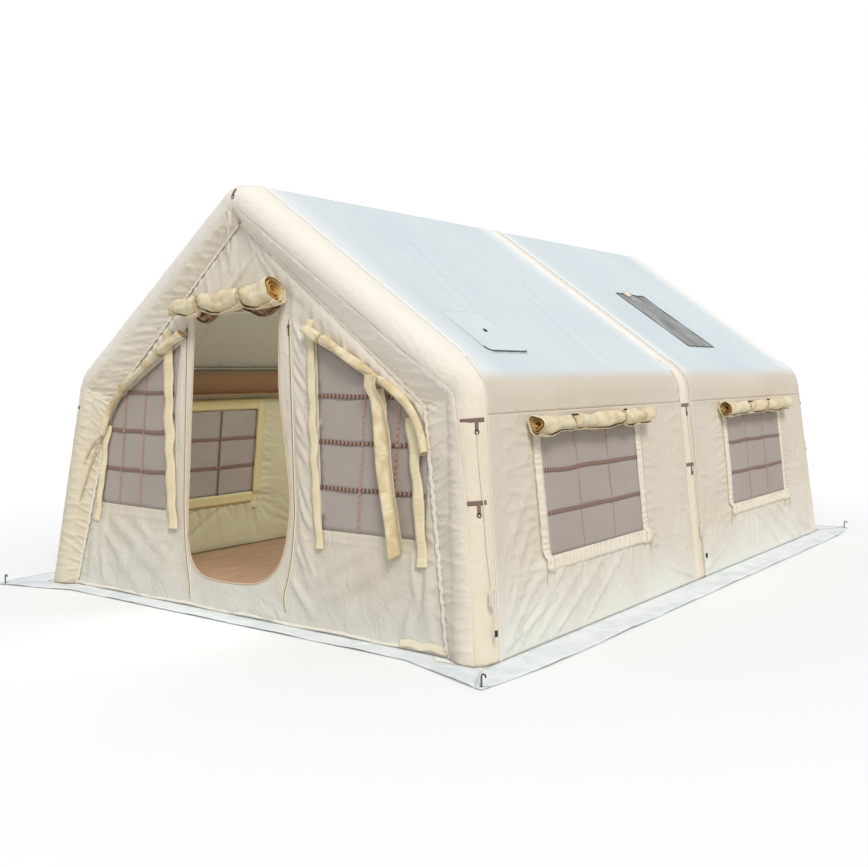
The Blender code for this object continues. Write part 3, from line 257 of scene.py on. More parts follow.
def evenly(line, count):
    """Points at equal steps along a line of points."""
    line = np.asarray(line, float)
    along = run_of(line)
    goal = np.linspace(0, along[-1], count)
    return np.stack([np.interp(goal, along, line[:, i]) for i in range(line.shape[1])], -1)


def hank_line(start, up, out):
    """Hank's line: it comes down from above, goes round three narrow loops that are drawn in at the
    waist, a layer out for each turn, and ends in a straight tail."""
    up, out = np.array(up, float), np.array(out, float)
    across = unit(np.cross(up, out))
    turn = math.tau * np.arange(73) / 24
    z = -np.sin(turn)
    loops = np.stack([0.018 * np.cos(turn) * (1 - 0.28 * (1 - z * z) ** 3), 0.0082 * turn / math.tau,
                      z * 0.05], -1)
    lead = loops[0] + np.outer([0.07, 0.056, 0.03], (0, 0, 1))
    trail = loops[-1] - np.outer([0.03, 0.056, 0.07, 0.145, 0.22], (0, 0, 1))
    flat = np.vstack([lead, loops, trail])
    return start + np.outer(flat[:, 0] - flat[0, 0], across) + np.outer(flat[:, 1], out) \
        + np.outer(flat[:, 2] - flat[0, 2], up)


# Polyester braid, plaited from white yarn: matt, with a diagonal strand that is drawn as 9 mm so that
# it shows. The grooves between the strands are painted darker: painted shade.
STRAND = 0.009


def strands(tree):
    """Waves along the rope that turn once round it in a strand's length."""
    twist = add(tree, "Math", {0: own_uv(tree, "Y"), 1: STRAND}, operation="MULTIPLY").outputs[0]
    return waves(tree, add(tree, "Math", {0: own_uv(tree), 1: twist}).outputs[0], STRAND)


rope_braid = finish("white polyester braid", strands, "D3C8BA", "FBF6EE", 0.85, (-1, 1), bump=0.0006)
ROPE = 0.006
for name, count, route, hank_start, up, out in (
        ("front", 48,
         ((1.8424, -2.8332, 1.2676), (1.8507, -2.8391, 1.2603), (1.8526, -2.8409, 1.2433),
          (1.856, -2.8427, 1.1971), (1.8691, -2.8494, 1.0978), (1.8922, -2.8564, 0.9492),
          (1.9093, -2.8617, 0.8604), (1.9197, -2.8658, 0.7806), (1.9309, -2.8682, 0.6603),
          (1.9471, -2.8715, 0.5506), (1.9645, -2.873, 0.4607), (1.9677, -2.8761, 0.4314)),
         (1.9677, -2.8761, 0.431), (-0.1071, 0.1038, 0.9888), (1, 0, 0)),
        ("middle", 48,
         ((1.8682, 0.0, 1.2733), (1.8804, 0.0, 1.2668), (1.8813, 0.0, 1.2495), (1.8789, 0.0, 1.2018),
          (1.8878, 0.006, 1.1013), (1.906, 0.018, 0.9515), (1.9197, 0.028, 0.8619),
          (1.9284, 0.034, 0.7817), (1.9375, 0.042, 0.661), (1.9504, 0.049, 0.5509),
          (1.9642, 0.055, 0.4608), (1.9674, 0.055, 0.4314)),
         (1.9674, 0.055, 0.431), (-0.1077, 0.0, 0.9942), (1, 0, 0)),
        ("apex", 12,
         ((0.0, -2.9229, 2.7188), (0.0, -2.9351, 2.7147), (0.0, -2.9357, 2.6986),
          (0.0, -2.936, 2.6795), (0.0, -2.936, 2.6499)),
         (0.0, -2.936, 2.6495), (0, 0, 1), (0, -1, 0))):
    line = np.vstack([through(route, count), hank_line(hank_start, up, out)])
    cord = tube(f"{name}_guy_cord", line, ROPE / 2, sides=14, hint=out)
    cord.data.materials.append(rope_braid)
    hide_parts(f"{name}_guy_rope", f"{name}_guy_hank")
    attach(cord, "tent")
    length = float(np.linalg.norm(np.diff(line, axis=0), axis=1).sum())
    down = unit(line[-1] - line[-2])
    reach = np.linspace(-0.008, 0.008, 9)[:, None]
    knot = tube(f"{name}_rope_knot", line[-1] - down * 0.009 + down * reach,
                0.0062 * np.sqrt(1 - np.linspace(-0.96, 0.96, 9) ** 2) + 0.0006, sides=12, hint=out,
                lump=lambda along, turn: 0.0009 * np.sin(3 * turn + along * 400))
    knot.data.materials.append(rope_braid)
    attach(knot, "tent")

# Ground and sky: plain white ground under a bright overcast sky, as in the photograph, so the light is
# soft and comes mostly from above, with a weak sun from the front right.
scene = bpy.context.scene
scene.view_settings.view_transform = "Standard"
world = bpy.data.worlds.new("overcast sky")
scene.world = world
world.use_nodes = True
tree = world.node_tree
tree.nodes.clear()
path = add(tree, "LightPath")
seen = add(tree, "Math", {0: path.outputs["Is Camera Ray"], 1: path.outputs["Is Transmission Ray"]},
           operation="MAXIMUM").outputs[0]
SKY_STRENGTH, SUN_STRENGTH, CLOTH_WATTS = 0.63, 1.85, 72
sky = add(tree, "Background", {"Color": linear("F0F5FA"), "Strength": SKY_STRENGTH})
white = add(tree, "Background", {"Color": (1, 1, 1, 1), "Strength": 1.0})
both = add(tree, "MixShader", {0: seen, 1: sky.outputs[0], 2: white.outputs[0]})
add(tree, "OutputWorld", {0: both.outputs[0]})

lamp = bpy.data.lights.new("veiled_sun", "SUN")
lamp.energy, lamp.angle, lamp.color = SUN_STRENGTH, math.radians(20), (1.0, 0.975, 0.935)
lamp_object = bpy.data.objects.new("veiled_sun", lamp)
bpy.context.collection.objects.link(lamp_object)
lamp_object.matrix_world = Vector((-0.61, 0.44, -0.79)).to_track_quat("-Z", "Y").to_matrix().to_4x4()

inner = bpy.data.lights.new("light_through_the_cloth", "AREA")
inner.shape, inner.size, inner.size_y = "RECTANGLE", 1.2, 5.0
inner.energy, inner.color = CLOTH_WATTS, (0.90, 1.0, 0.97)
inner_object = bpy.data.objects.new("light_through_the_cloth", inner)
bpy.context.collection.objects.link(inner_object)
inner_object.location = (0, 0, 2.2)

floor_finish, tree, shader = blank("white ground")
shader.inputs["Roughness"].default_value = 0.95
looked_at = add(tree, "LightPath").outputs["Is Camera Ray"]
tree.links.new(mixed(tree, looked_at, linear("D2D0CB"), linear("FAFAF9")), shader.inputs["Base Color"])
place = add(tree, "TexCoord").outputs["Object"]
far = scaled(tree, add(tree, "VectorMath", {0: place}, operation="LENGTH").outputs["Value"], 3.4, 6.4)
seen = add(tree, "Math", {0: far, 1: looked_at}, operation="MULTIPLY").outputs[0]
glow = add(tree, "Emission", {"Color": (1, 1, 1, 1), "Strength": 1.0})
blended = add(tree, "MixShader", {0: seen, 1: shader.outputs[0], 2: glow.outputs[0]})
tree.links.new(blended.outputs[0], tree.nodes["Material Output"].inputs["Surface"])
ground = build("ground", [(x, y, -0.003) for x, y in ((-70, -70), (70, -70), (70, 70), (-70, 70))],
               [(0, 1, 2, 3)], inside=(0, 0, -9), smooth=False)
ground.data.materials.append(floor_finish)

# Air beams: welded tubes of clear-white TPU inside the sleeves, three bent into house-shaped arches
# with mitred corners, blown up hard.
LEG_FOOT, LEG_TOP = np.array((1.8792, 0.0005)), np.array((1.7241, 1.4337))
ROOF_FOOT, ROOF_TOP = np.array((1.6594, 1.5437)), np.array((0.0571, 2.6776))
REACH = 0.120  # roof cloth's outside, from an arch's axis
BAND = 0.0995
SEAM_BACK = 0.0402  # gable cloth's back, out from an end arch's axis
LEG_ANGLE, ROOF_ANGLE = math.atan2(0.1076, 0.9942), math.atan2(0.8163, 0.5777)
END_Y, EAVE_Z, RIDGE_RISE = 2.74, 1.4933, 1.1962  # an end arch's axis at its eave, and its ridge above


def arch_line(q):
    """Axis of an arch in (x, z) and the unit way out of it, at q from 0, the right foot, over the
    ridge, 5, to 10, the left foot.

    Straight from 0 to 1 and from 3 to 4; circular bends from 1 to 3 and over the ridge from 4 to 6.
    """
    q = np.asarray(q, float)
    half = np.where(q > 5, 10 - q, q)
    angle = np.select([half <= 1, half <= 3, half <= 4], [
        LEG_ANGLE, LEG_ANGLE + (ROOF_ANGLE - LEG_ANGLE) * (half - 1) / 2, ROOF_ANGLE],
        ROOF_ANGLE + (math.pi / 2 - ROOF_ANGLE) * (half - 4))
    out = np.stack([np.cos(angle), np.sin(angle)], -1)
    leg = LEG_FOOT + (LEG_TOP - LEG_FOOT) * half[..., None]
    bend_size = np.linalg.norm(ROOF_FOOT - LEG_TOP) / 2 / math.sin((ROOF_ANGLE - LEG_ANGLE) / 2)
    hub = LEG_TOP - bend_size * np.array((math.cos(LEG_ANGLE), math.sin(LEG_ANGLE)))
    roof = ROOF_FOOT + (ROOF_TOP - ROOF_FOOT) * (half[..., None] - 3)
    ridge_size = ROOF_TOP[0] / math.cos(ROOF_ANGLE)
    ridge_hub = ROOF_TOP - ridge_size * np.array((math.cos(ROOF_ANGLE), math.sin(ROOF_ANGLE)))
    spot = np.select([half[..., None] <= 1, half[..., None] <= 3, half[..., None] <= 4],
                     [leg, hub + bend_size * out, roof], ridge_hub + ridge_size * out)
    flip = np.where(q > 5, -1.0, 1.0)
    spot = np.stack([spot[..., 0] * flip, spot[..., 1]], -1)
    out = np.stack([out[..., 0] * flip, out[..., 1]], -1)
    level = np.clip(1 - half, 0, 1)[..., None]
    flat = np.stack([1.0058 * flip, np.zeros_like(flip)], -1)
    return spot, out * (1 - level) + flat * level


def end_y(z):
    """Distance of an end arch's axis from the tent's middle at height z of the axis: it leans out
    from the eave to the ground and, less, to the ridge."""
    z = np.asarray(z, float)
    return END_Y + np.where(z < EAVE_Z, 0.16 * (EAVE_Z - z) / EAVE_Z, 0.065 * (z - EAVE_Z) / RIDGE_RISE)


def on_arch(arch, q, a, c):
    """Points a metres out from the axis of arch -1, 0 or 1, and c metres along the tent from it."""
    spot, out = arch_line(q)
    place = spot + out * np.asarray(a)[..., None]
    y = (arch or 1) * (abs(arch) * end_y(spot[..., 1]) + c)
    return np.stack(np.broadcast_arrays(place[..., 0], y, place[..., 1]), -1)


def stations(count_leg, count_bend, count_roof):
    """Values of q along a whole arch, closer together in the bends."""
    right = np.concatenate([np.linspace(0, 1, count_leg, endpoint=False),
                            np.linspace(1, 3, count_bend, endpoint=False),
                            np.linspace(3, 4, count_roof, endpoint=False),
                            np.linspace(4, 5, count_bend // 2 + 1)])
    return np.concatenate([right, 10 - right[-2::-1]])


def hush(seed, points, size, octaves=3):
    """Smooth random height from -1 to 1 over points of two or three coordinates: sines of random ways,
    with waves about the given size long and then shorter and weaker."""
    dice = np.random.default_rng(seed)
    total, weight = 0, 0
    for octave in range(octaves):
        for _ in range(6):
            way = dice.normal(size=points.shape[-1])
            way *= math.tau / size * 2 ** octave * dice.uniform(0.6, 1.3) / np.linalg.norm(way)
            total = total + np.sin(points @ way + dice.uniform(0, math.tau)) / 2 ** octave
        weight += 6 ** 0.5 / 2 ** octave
    return total / weight / 1.3


# TPU film: milky and slightly glossy, with the soft gleam of a taut balloon.
bladder_film = finish("milky TPU film", lambda tree: noise(tree, 40.0), "DDD9D0", "EBE8E1", 0.35)
BLADDER = 0.1128  # radius of a blown-up beam
turns = np.linspace(0, math.tau, 41)
for name, arch in (("front", -1), ("middle", 0), ("rear", 1)):
    q = stations(14, 16, 22)[:, None]
    rings = on_arch(arch, q, BLADDER * np.cos(turns)[None], BLADDER * np.sin(turns)[None])
    rings = np.concatenate([rings[:1] * 0 + rings[:1, :-1].mean(1, keepdims=True), rings,
                            rings[:1] * 0 + rings[-1:, :-1].mean(1, keepdims=True)])
    beam = joined(build(f"{name}_air_beam", rings.reshape(-1, 3), quads(*rings.shape[:2])))
    beam.data.materials.append(bladder_film)
    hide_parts(f"{name}_arch_beam")
    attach(beam, "tent")

# Long beams: the ridge and eave beams, air tubes in brown canvas sleeves laced between the arches. The
# left eave beam shows through the door.


def woven(tree, thread):
    """Height of a plain weave: a sine across the cloth times one along it."""
    return add(tree, "Math", {0: waves(tree, own_uv(tree), thread),
                              1: waves(tree, own_uv(tree, "Y"), thread)}, operation="MULTIPLY").outputs[0]


def canvas(name, colour, shade, thread=0.0016, cockle=0.0035, cockle_size=0.05, dirt=0.35,
           wrinkle=(0, 0, 0), wrinkle_depth=0.0, pale=None, top=None):
    """Woven cotton canvas. Broad noise turns the colour towards its shade, finer noise cockles the
    surface and darkens its hollows a little, painted shade, and noise drawn out by the wrinkle's scales
    creases it. Pale is the colour that its foot fades to, painted light from the white ground, and top
    the lighter one above the eave, painted light."""
    made, tree, shader = blank(name)
    weave = woven(tree, thread)
    place = add(tree, "TexCoord").outputs["Object"]
    height = add(tree, "SeparateXYZ", {0: place}).outputs["Z"]
    broad = add(tree, "TexNoise", {"Vector": place, "Scale": 1.7, "Detail": 4.0,
                                   "Roughness": 0.6}).outputs[0]
    fine = noise(tree, 1 / cockle_size, 3.0, 0.6)
    blotch = scaled(tree, broad, 0.35, 0.72, 0, dirt)
    tint = mixed(tree, blotch, linear(colour), linear(shade))
    # Painted shade: finer noise darkens the cockles' hollows a little.
    tint = mixed(tree, scaled(tree, fine, 0.3, 0.75, 0.10, 0), tint, linear(shade))
    # Painted light: the colour turns lighter above the eave.
    if top:
        tint = mixed(tree, scaled(tree, height, 1.2, 1.75, 0, 0.85), tint, linear(top))
    # Painted light from the white ground: the foot fades to the pale colour.
    if pale:
        uneven = add(tree, "Math", {0: broad, 1: height}, operation="ADD").outputs[0]
        tint = mixed(tree, scaled(tree, uneven, 0.55, 1.05, 0.85, 0), tint, linear(pale))
    tree.links.new(tint, shader.inputs["Base Color"])
    grain = add(tree, "Bump", {"Height": weave, "Distance": 0.00035, "Strength": 0.5}).outputs[0]
    cockled = add(tree, "Bump", {"Height": fine, "Distance": cockle, "Strength": 0.8, "Normal": grain})
    if wrinkle_depth:
        drawn = noise(tree, 1.0, 2.5, 1.4, stretch=wrinkle)
        crest = add(tree, "Math", {0: drawn, 1: 0.5}, operation="SUBTRACT").outputs[0]
        crest = add(tree, "Math", {0: crest}, operation="ABSOLUTE").outputs[0]
        cockled = add(tree, "Bump", {"Height": crest, "Distance": -2.5 * wrinkle_depth, "Strength": 0.8,
                                     "Normal": cockled.outputs[0]})
    tree.links.new(cockled.outputs[0], shader.inputs["Normal"])
    shader.inputs["Roughness"].default_value = 0.86
    shader.inputs["Sheen Weight"].default_value = 0.12
    shader.inputs["Specular IOR Level"].default_value = 0.3
    return made


# Brown canvas of 300 g, plain woven and matt.
brown_canvas = canvas("brown canvas of the beam sleeves", "8A6848", "6F5238", cockle=0.004)
LONG_BEAM = 0.0985  # radius of a ridge or eave beam
for place, q in (("ridge", 5.0), ("right_eave", 2.0), ("left_eave", 8.0)):
    spot, out = arch_line(np.array(q))
    for bay, arch in (("front", -1), ("rear", 1)):
        low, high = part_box(f"{place}_beam_{bay}")
        ends = sorted((low[1], high[1]), key=abs)
        y = np.linspace(ends[0], ends[1], 60)
        t = np.linspace(0, math.tau, 49)
        centre = np.array(((low[0] + high[0]) / 2, (low[2] + high[2]) / 2))
        share = (y - y[0]) / (y[-1] - y[0])
        size = LONG_BEAM - 0.006 * np.exp(-np.minimum(share, 1 - share) * 40)
        size = size[:, None] + 0.0012 * np.sin(40 * share[:, None] + 3 * t[None])
        rings = np.stack([centre[0] + size * np.cos(t), np.broadcast_to(y[:, None], size.shape),
                          centre[1] + size * np.sin(t)], -1)
        middle = np.broadcast_to(rings[:, :-1].mean(1, keepdims=True), rings.shape)
        rings = np.concatenate([middle[:1], rings, middle[-1:]])
        uvs = np.stack(np.broadcast_arrays(t[None] * 0.1, np.r_[y[0], y, y[-1]][:, None]), -1)
        beam = joined(build(f"{place}_long_beam_{bay}", rings.reshape(-1, 3), quads(*rings.shape[:2]),
                            uvs.reshape(-1, 2)))
        beam.data.materials.append(brown_canvas)
        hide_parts(f"{place}_beam_{bay}")
        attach(beam, "tent")

# Arch sleeves: cream canvas tubes with a zip for the air beam. The middle one has a flat band over its
# outside and the end ones half a band, and a flap that the gable is sewn to; their bends are puckered.
# The sleeves' cream turns lighter above the eave: painted light.
cream_canvas = canvas("cream canvas of the arch sleeves", "EEE1CC", "E2D1B4", dirt=0.3, wrinkle=(6, 6, 6),
                      wrinkle_depth=0.005, top="F8F2E7")


def bow(count, first, last):
    """Points of a sleeve's section on its circle, between two turns in degrees."""
    t = np.radians(np.linspace(first, last, count))
    return list(zip(SLEEVE * np.cos(t), SLEEVE * np.sin(t)))


SLEEVE = 0.1165  # radius of a sleeve
FLAP_EDGE = -9.0  # stands in a section for the flap's edge, whose reach changes along the arch
SEAM_REACH = (0.135, 0.155, 0.165, 0.155, 0.1155, 0.111)
for name, arch in (("front", -1), ("middle", 0), ("rear", 1)):
    q = stations(70, 60, 110)
    half = np.where(q > 5, 10 - q, q)
    under = [(REACH - 0.003, -0.045), (REACH - 0.003, -BAND)]
    if arch:
        section = [(REACH, -BAND), (REACH, -0.06), (REACH, -0.012)] + bow(22, 6, 156)
        section += [(-0.1079, SEAM_BACK + 0.003), (FLAP_EDGE, SEAM_BACK + 0.003), (FLAP_EDGE, SEAM_BACK),
                    (-0.1085, SEAM_BACK)]
        section += bow(22, 180, 338) + under
    else:
        section = [(REACH, -BAND), (REACH, 0.0), (REACH, BAND)]
        section += [(REACH - 0.003, BAND), (REACH - 0.003, 0.045)] + bow(44, 22, 338) + under
    section = np.array(section + section[:1])
    a, c = np.repeat(section[None, :, 0], len(q), 0), np.repeat(section[None, :, 1], len(q), 0)
    if arch:
        reach = -np.interp(half, np.arange(6), SEAM_REACH)[:, None]
        a = np.where(a == FLAP_EDGE, reach, a)
    round_part = np.clip((REACH - 0.004 - a) / 0.02, 0, 1) * (np.hypot(a, c) < 0.125)
    turn = np.arctan2(c, a)
    rings = on_arch(arch, q[:, None], a, c)
    bend = np.exp(-((half - 2.0) / 0.75) ** 2)[:, None] + 0.7 * np.exp(-((half - 5) / 0.6) ** 2)[:, None]
    inner_side = np.clip(-np.cos(turn), 0, 1) + 0.35
    folds = 0.006 * bend * inner_side * np.abs(np.sin(half[:, None] * 21 + 1.2 * np.sin(turn * 2)))
    drift = 0.0030 * hush(11 + arch, rings, 0.45) - 0.0002
    spiral = (half[:, None] * 1.6 + turn * 0.55) * math.tau / 0.5 + 2.2 * hush(14 + arch, rings, 0.5, 1)
    calm = np.clip(np.minimum(np.abs(half[:, None] - 0.61), np.abs(half[:, None] - 0.925)) / 0.06, 0, 1)
    twist = 0.0040 * np.abs(np.sin(spiral)) ** 2 * np.clip((3.9 - half[:, None]) / 1.2, 0.12, 1) * calm
    size = np.hypot(a, c)
    grow = 1 + round_part * np.maximum(folds + drift + twist, -0.0008) / np.maximum(size, 0.05)
    rings = on_arch(arch, q[:, None], a * grow, c * grow)
    middle = np.broadcast_to(rings[:, :-1].mean(1, keepdims=True), rings.shape)
    spot, _ = arch_line(q)
    edge = run_of(np.where(section == FLAP_EDGE, -SEAM_REACH[0], section))
    uvs = np.stack(np.broadcast_arrays(run_of(spot)[:, None], edge[None]), -1)
    uvs = np.concatenate([uvs[:1], uvs, uvs[-1:]])
    rings = np.concatenate([middle[:1], rings, middle[-1:]])
    sleeve = joined(build(f"{name}_sleeve", rings.reshape(-1, 3), quads(*rings.shape[:2]),
                          uvs.reshape(-1, 2)))
    sleeve.data.materials.append(cream_canvas)
    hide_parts(f"{name}_arch_sleeve")
    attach(sleeve, "tent")

# Roof: one piece of bluish-white coated cloth over each bay, sewn to the arches' bands, drawn tight
# over the ridge and eaves and slack between, with a beige valance below each eave.
BAY = {"front": -1, "rear": 1}
SKYLIGHT_Y, SKYLIGHT_X = (0.94, 1.51), (0.79, 1.48)
STOVE_Y, STOVE_X = (-2.355, -1.915), (1.24, 1.615)
WALL_FOOT, WALL_RISE = 0.0005, 1.4461  # height of the wall's foot, and of the eave's bend above it
WALL_SLOPE = 1.45  # length of wall cloth from one whole q to the next
SEAM_Z = 1.36  # where the roof's valance meets the wall


def roof_q(x):
    """Place q on the right slope at a distance x from the middle, measured on the cloth's outside."""
    return 3 + (1.7287 - x) / 1.6023


def wall_q(z):
    """Place q on the right wall at a height z of the cloth's outside."""
    return (z - WALL_FOOT) / WALL_RISE


def wall_z(q):
    """Height at a place q on a wall, the reverse of wall_q."""
    return WALL_FOOT + WALL_RISE * q


def line_folds(u, v, folds):
    """Height of straight folds: each is a round ridge along a line from (u0, v0) to (u1, v1), as wide
    and high as given, highest at its start and gone at its end, or both ends low if it is a crest."""
    total = np.zeros(np.broadcast(u, v).shape)
    for u0, v0, u1, v1, width, height, crest in folds:
        du, dv = u1 - u0, v1 - v0
        length = math.hypot(du, dv)
        along = ((u - u0) * du + (v - v0) * dv) / length ** 2
        off = ((u - u0) * dv - (v - v0) * du) / length
        held = np.clip(along, 0, 1)
        shape = 4 * held * (1 - held) if crest else (1 - held) * np.clip(held * 12, 0, 1)
        spread = width * (0.6 + 0.8 * held)
        total = total + height * shape * np.exp(-(off / spread) ** 2)
    return total


def eased(rise, low, high):
    """Heights held softly between a low and a high limit, by a hyperbolic tangent on each side of zero."""
    return np.where(rise > 0, high * np.tanh(rise / high), low * np.tanh(rise / low))


def hem_lines(low, high, edges, step):
    """Values from low to high at about the given step, with the edges among them."""
    stops = [low, *sorted(edges), high]
    parts = [np.linspace(a, b, max(2, round((b - a) / step) + 1))[:-1] for a, b in zip(stops, stops[1:])]
    return np.concatenate([*parts, [high]])


def band_cover(z):
    """How far in from an end arch's axis its band shows: the beige cloth is sewn over the rest of it on
    the columns, and gives way to the band above the eave."""
    return np.interp(z, (0, 0.3, 0.88, 1.335, 1.52, 1.64), (0.066, 0.052, 0.024, 0.010, 0.010, BAND))


def bay_grid(q, y, arch, hold):
    """Grid of q and y: each y past the hold, a place by the end arch, is stretched so that the last one
    meets the part of the arch's band that shows, at every height."""
    spot, _ = arch_line(q)
    end = (end_y(spot[:, 1]) - band_cover(spot[:, 1]) - 0.0005)[:, None]
    share = np.clip((np.abs(y) - hold) / (np.abs(y).max() - hold), 0, 1)[None]
    return np.repeat(q[:, None], len(y), 1), arch * (np.abs(y)[None] + (end - np.abs(y).max()) * share)


def sag_share(q, y):
    """Share of the way from the middle arch's band to the end arch's, from 0 to 1."""
    spot, _ = arch_line(q)
    return np.clip((np.abs(y) - BAND) / (end_y(spot[..., 1]) - 2 * BAND), 0, 1)


def over_band(spot, y):
    """Height of cloth that is sewn over an end arch's band, above the cloth beside it."""
    return 0.0026 * np.clip((np.abs(y) - end_y(spot[..., 1]) + BAND + 0.012) / 0.012, 0, 1)


def roof_point(q, y, depth=0.0, seed=3):
    """Roof cloth's point: the arches' outside, less a sag of 22 mm halfway down a slope and between
    arches, plus long soft wrinkles that run down the slope at a slant, and short ones at the bands."""
    spot, out = arch_line(q)
    half = np.where(q > 5, 10 - q, q)
    slope = np.sin(math.pi * np.clip((half - 2.8) / 1.5, 0, 1))
    share = sag_share(q, y)
    sag = 0.022 * slope * np.sin(math.pi * share)
    down = spot[..., 1]
    slant = y + 0.42 * (2.7 - down) * np.where(q > 5, -1, 1)
    drift = hush(seed, np.stack([slant, down * 0.25, np.sign(5 - q) + 0 * y], -1), 0.9, 2)
    patchy = 0.5 + 0.5 * hush(seed + 1, np.stack([slant, down * 0.5], -1), 0.9, 1)
    ripples = 0.0022 * np.sin(slant * 74 + 5.0 * drift) + 0.0030 * np.sin(slant * 31 + 3.0 * drift)
    ripples = ripples * patchy + 0.0035 * drift
    near = np.exp(-share * 16) + np.exp(-(1 - share) * 16)
    short = 0.0026 * near * patchy * np.sin(down * 62 + 14 * drift)
    rise = ripples * np.clip(np.sin(math.pi * share) * 2.2, 0, 1) * (0.25 + 0.75 * slope) + short
    lift = np.clip(rise, -0.012, 0.010) - depth - sag + over_band(spot, y)
    place = spot + out * (REACH + lift)[..., None]
    return np.stack([place[..., 0], y, place[..., 1]], -1)


def outside_hole(grid_q, y, hole_q, hole_y):
    """True for the squares of a grid of places q and a row of distances y that lie outside an opening."""
    inner_q = (grid_q[:-1, :-1] + grid_q[1:, 1:]) / 2
    inner_y = np.abs(y[:-1] + y[1:])[None] / 2 + 0 * inner_q
    return ~((inner_q > hole_q[0]) & (inner_q < hole_q[1]) & (inner_y > hole_y[0]) & (inner_y < hole_y[1]))


def flat_size(grid_u, grid_v, keep):
    """Flat width, length and area of the kept squares of a grid in metres."""
    cells = np.abs(np.diff(grid_u, axis=0)[:, :-1] * np.diff(grid_v, axis=1)[:-1])
    return float(np.ptp(grid_v)), float(np.ptp(grid_u)), float(cells[keep].sum())


# Coated cotton: bluish white on the slopes, a painted reflection of the sky in the coating, and warm
# beige below the eave, where the same cloth faces the ground.
roof_canvas, tree, shader = blank("coated roof cotton")
place = add(tree, "SeparateXYZ", {0: add(tree, "TexCoord").outputs["Object"]})
broad, fine = noise(tree, 1.1, 3.0), noise(tree, 16.0, 3.0)
slope_tint = mixed(tree, scaled(tree, broad, 0.3, 0.7), linear("D3DCE0"), linear("DCE3E6"))
away = add(tree, "Math", {0: place.outputs["Y"]}, operation="ABSOLUTE").outputs[0]
by_middle, by_end = scaled(tree, away, 0.13, 0.27, 0.8, 0), scaled(tree, away, 2.42, 2.64, 0, 0.8)
pale = add(tree, "Math", {0: by_middle, 1: by_end}, operation="MAXIMUM").outputs[0]
slope_tint = mixed(tree, pale, slope_tint, linear("EEF0EF"))
wall_tint = mixed(tree, scaled(tree, broad, 0.3, 0.7), linear("DED2C1"), linear("D5C8B5"))
lower = scaled(tree, place.outputs["Z"], 1.545, 1.615)
tree.links.new(mixed(tree, lower, wall_tint, slope_tint), shader.inputs["Base Color"])
grain = add(tree, "Bump", {"Height": woven(tree, 0.0014), "Distance": 0.0003, "Strength": 0.5}).outputs[0]
rough = add(tree, "Bump", {"Height": fine, "Distance": 0.005, "Strength": 0.6, "Normal": grain})
tree.links.new(rough.outputs[0], shader.inputs["Normal"])
shader.inputs["Roughness"].default_value = 0.7
shader.inputs["Sheen Weight"].default_value = 0.08
roof_lining = canvas("olive inner side of the roof", "D3D8CE", "C5CAC0", cockle=0.006)

for bay, arch in BAY.items():
    hole_q = sorted(roof_q(x) for x in (STOVE_X if bay == "front" else SKYLIGHT_X))
    hole_y = sorted(abs(y) for y in (STOVE_Y if bay == "front" else SKYLIGHT_Y))
    seam_q = wall_q(SEAM_Z)
    right = np.concatenate([np.linspace(seam_q, 1, 7)[:-1], np.linspace(1, 3, 22)[:-1],
                            hem_lines(3, 4, hole_q, 0.012)[:-1], np.linspace(4, 5, 9)])
    q = np.concatenate([right, 10 - right[-2::-1]])
    y = hem_lines(BAND + 0.0005, END_Y - BAND, hole_y, 0.016)
    grid_q, grid_y = bay_grid(q, y, arch, hole_y[1])
    keep = outside_hole(grid_q, y, hole_q, hole_y)
    points = roof_point(grid_q, grid_y, seed=3 + arch)
    spot, out = arch_line(q)
    run = run_of(spot + out * REACH)
    uv = np.stack([grid_y, np.repeat(run[:, None], len(y), 1)], -1)
    roof = build(f"{bay}_roof_cloth", points.reshape(-1, 3), quads(*grid_q.shape, keep=keep),
                 uv.reshape(-1, 2), inside=(0, arch * 1.4, 1.2), thick=0.002, lined=True)
    for finish_of in (roof_canvas, roof_lining):
        roof.data.materials.append(finish_of)
    width, length, area = flat_size(uv[..., 1], uv[..., 0], keep)
    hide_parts(f"roof_{bay}_bay")
    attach(roof, "tent")

# Side walls: beige canvas, sewn to the arches' bands and to the roof's valance, with a window opening,
# a seam above the ground, and wrinkles that fan out from the window's corners and the arches' feet.
WINDOW_Z = (0.495, 1.255)
WINDOW_Y = {"front": (-2.20, -0.94), "rear": (0.78, 2.05)}
# The walls' foot fades to a pale colour: painted light from the white ground.
wall_canvas = canvas("beige wall canvas", "E0D5C4", "D3C6B2", cockle=0.004, wrinkle=(4, 5, 2.6),
                     wrinkle_depth=0.008, pale="E8E7DE")
wall_lining = canvas("straw inner side of the walls", "DDD6B8", "C9C09C", cockle=0.005)


